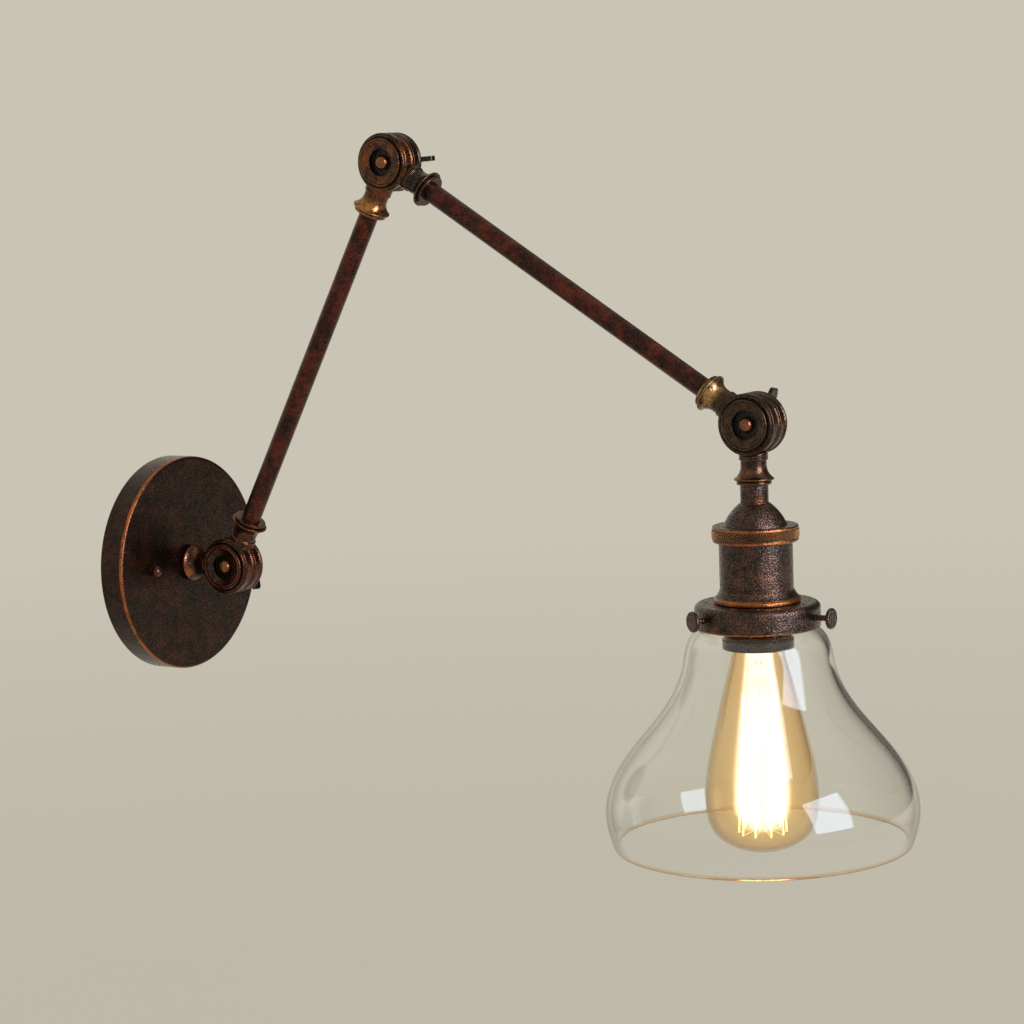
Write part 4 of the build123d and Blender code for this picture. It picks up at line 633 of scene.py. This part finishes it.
# ---- Bulb ----
# A pear-shaped filament bulb: a thin amber glass envelope cemented in a brass screw cap, a clear
# glass stem with a long rod, and a carbon filament bent into a cage and held by fine wires.
amber_glass, tree, shader, place = new_material("amber_flashed_glass")
flash = add_node(tree, "ShaderNodeTexNoise", {"Scale": 40.0, "Detail": 1.0}, Vector=place)
tone = two_tones(tree, flash.outputs["Fac"], "#FCE8C2", "#FEEFD0")
slant = add_node(tree, "ShaderNodeLayerWeight", {"Blend": 0.5}).outputs["Facing"]
thick = add_node(tree, "ShaderNodeMapRange", {1: 0.45, 2: 0.9, 3: 0.0, 4: 1.0}, Value=slant)
edge_on = add_node(tree, "ShaderNodeMix", {"data_type": "RGBA", 7: linear("#C49A64")}, in_0=thick.outputs[0],
                   in_6=tone)
tree.links.new(edge_on.outputs[2], shader.inputs["Base Color"])
# the flashed glass scatters the filament's light: white over the cage, then a fading amber glow
glow = add_node(tree, "ShaderNodeValToRGB", in_0=slant)
for position, colour in ((0.10, "#FFF4E0"), (0.17, "#FFC878")):
    stop = glow.color_ramp.elements.new(position)
    stop.color = linear(colour)
glow.color_ramp.elements[0].color = linear("#FFF4E0")
glow.color_ramp.elements[-1].color = linear("#FFB45C")
tree.links.new(glow.outputs[0], shader.inputs["Emission Color"])
haze = add_node(tree, "ShaderNodeFloatCurve", {0: 1.0}, in_1=slant)
for spot in ((0.09, 0.8), (0.17, 0.12), (0.5, 0.03)):
    haze.mapping.curves[0].points.new(*spot)
haze.mapping.curves[0].points[0].location = (0.0, 0.8)
haze.mapping.curves[0].points[-1].location = (1.0, 0.0)
haze.mapping.update()
air_side = add_node(tree, "ShaderNodeNewGeometry").outputs["Backfacing"]
air_side = add_node(tree, "ShaderNodeMath", {"operation": "SUBTRACT", 0: 1.0}, in_1=air_side)
haze = add_node(tree, "ShaderNodeMath", {"operation": "MULTIPLY"}, in_0=haze.outputs[0],
                in_1=air_side.outputs[0])
tree.links.new(haze.outputs[0], shader.inputs["Emission Strength"])
shader.inputs["Transmission Weight"].default_value = 1.0
shader.inputs["Roughness"].default_value = 0.0
shader.inputs["IOR"].default_value = GLASS_IOR

# the outside line runs on past the tip, so that the curve is level there, and is cut at the axis
BULB_TIP = 0.2161
BULB_WALL, BULB_STEPS, BULB_AROUND = 0.0009, 97, 96
BULB_OUTSIDE = [
    (0.0122, 0.0936), (0.0122, 0.1076), (0.0168, BULB_TIP - 0.0875), (0.0242, BULB_TIP - 0.057),
    (0.0285, BULB_TIP - 0.028), (0.0239, BULB_TIP - 0.010), (0.0103, BULB_TIP - 0.0016),
    (0.0, BULB_TIP), (-0.0103, BULB_TIP - 0.0016),
]
outline = smooth_line(BULB_OUTSIDE, BULB_STEPS)
outline = np.vstack([outline[: int(np.argmax(outline[:, 0] < 0))], [0.0, BULB_TIP]])
along = np.gradient(outline, axis=0)
along /= np.linalg.norm(along, axis=1)[:, None]
along[-1] = (-1, 0)
inside = outline + np.stack([-along[:, 1], along[:, 0]], 1) * BULB_WALL
inside[-1, 0] = 0
inside = inside[(inside[:, 0] > 0) | (np.arange(len(inside)) == len(inside) - 1)]
envelope = turned_mesh("bulb_envelope", np.vstack([outline, inside[::-1]]), BULB_AROUND, amber_glass)
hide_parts("bulb_glass")
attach(envelope, "bulb")

stem_glass, tree, shader, place = new_material("clear_lead_glass_stem")
cord = add_node(tree, "ShaderNodeTexNoise", {"Scale": 200.0}, Vector=place)
tone = two_tones(tree, cord.outputs["Fac"], "#EFE6D2", "#FBF4E4")
tree.links.new(tone, shader.inputs["Base Color"])
shader.inputs["Transmission Weight"].default_value = 1.0
shader.inputs["Roughness"].default_value = 0.05
finish(stem_glass, "bulb_stem")

# the lit filament is far brighter than the room, so it renders white with a warm edge
hot_carbon, tree, shader, place = new_material("glowing_carbon_filament")
heat = add_node(tree, "ShaderNodeTexNoise", {"Scale": 60.0}, Vector=place)
tone = two_tones(tree, heat.outputs["Fac"], "#FFD9A0", "#FFE9C8")
tree.links.new(tone, shader.inputs["Emission Color"])
shader.inputs["Base Color"].default_value = linear("#FFD58F")
shader.inputs["Emission Strength"].default_value = 2.2
finish(hot_carbon, "filament")

nickel, tree, shader, place = new_material("nickel_support_wire")
dull = add_node(tree, "ShaderNodeTexNoise", {"Scale": 400.0}, Vector=place)
tone = two_tones(tree, dull.outputs["Fac"], "#9D968A", "#C8C2B6")
tree.links.new(tone, shader.inputs["Base Color"])
shader.inputs["Metallic"].default_value = 1.0
shader.inputs["Roughness"].default_value = 0.3
finish(nickel, "bulb_contact")

# the same wire inside the lit bulb is bathed in the filament's light
lit_nickel = nickel.copy()
lit_nickel.name = "nickel_support_wire_lit"
lit_shader = next(n for n in lit_nickel.node_tree.nodes if n.type == "BSDF_PRINCIPLED")
lit_shader.inputs["Emission Color"].default_value = linear("#FFCF8C")
lit_shader.inputs["Emission Strength"].default_value = 0.6
finish(lit_nickel, "filament_supports")
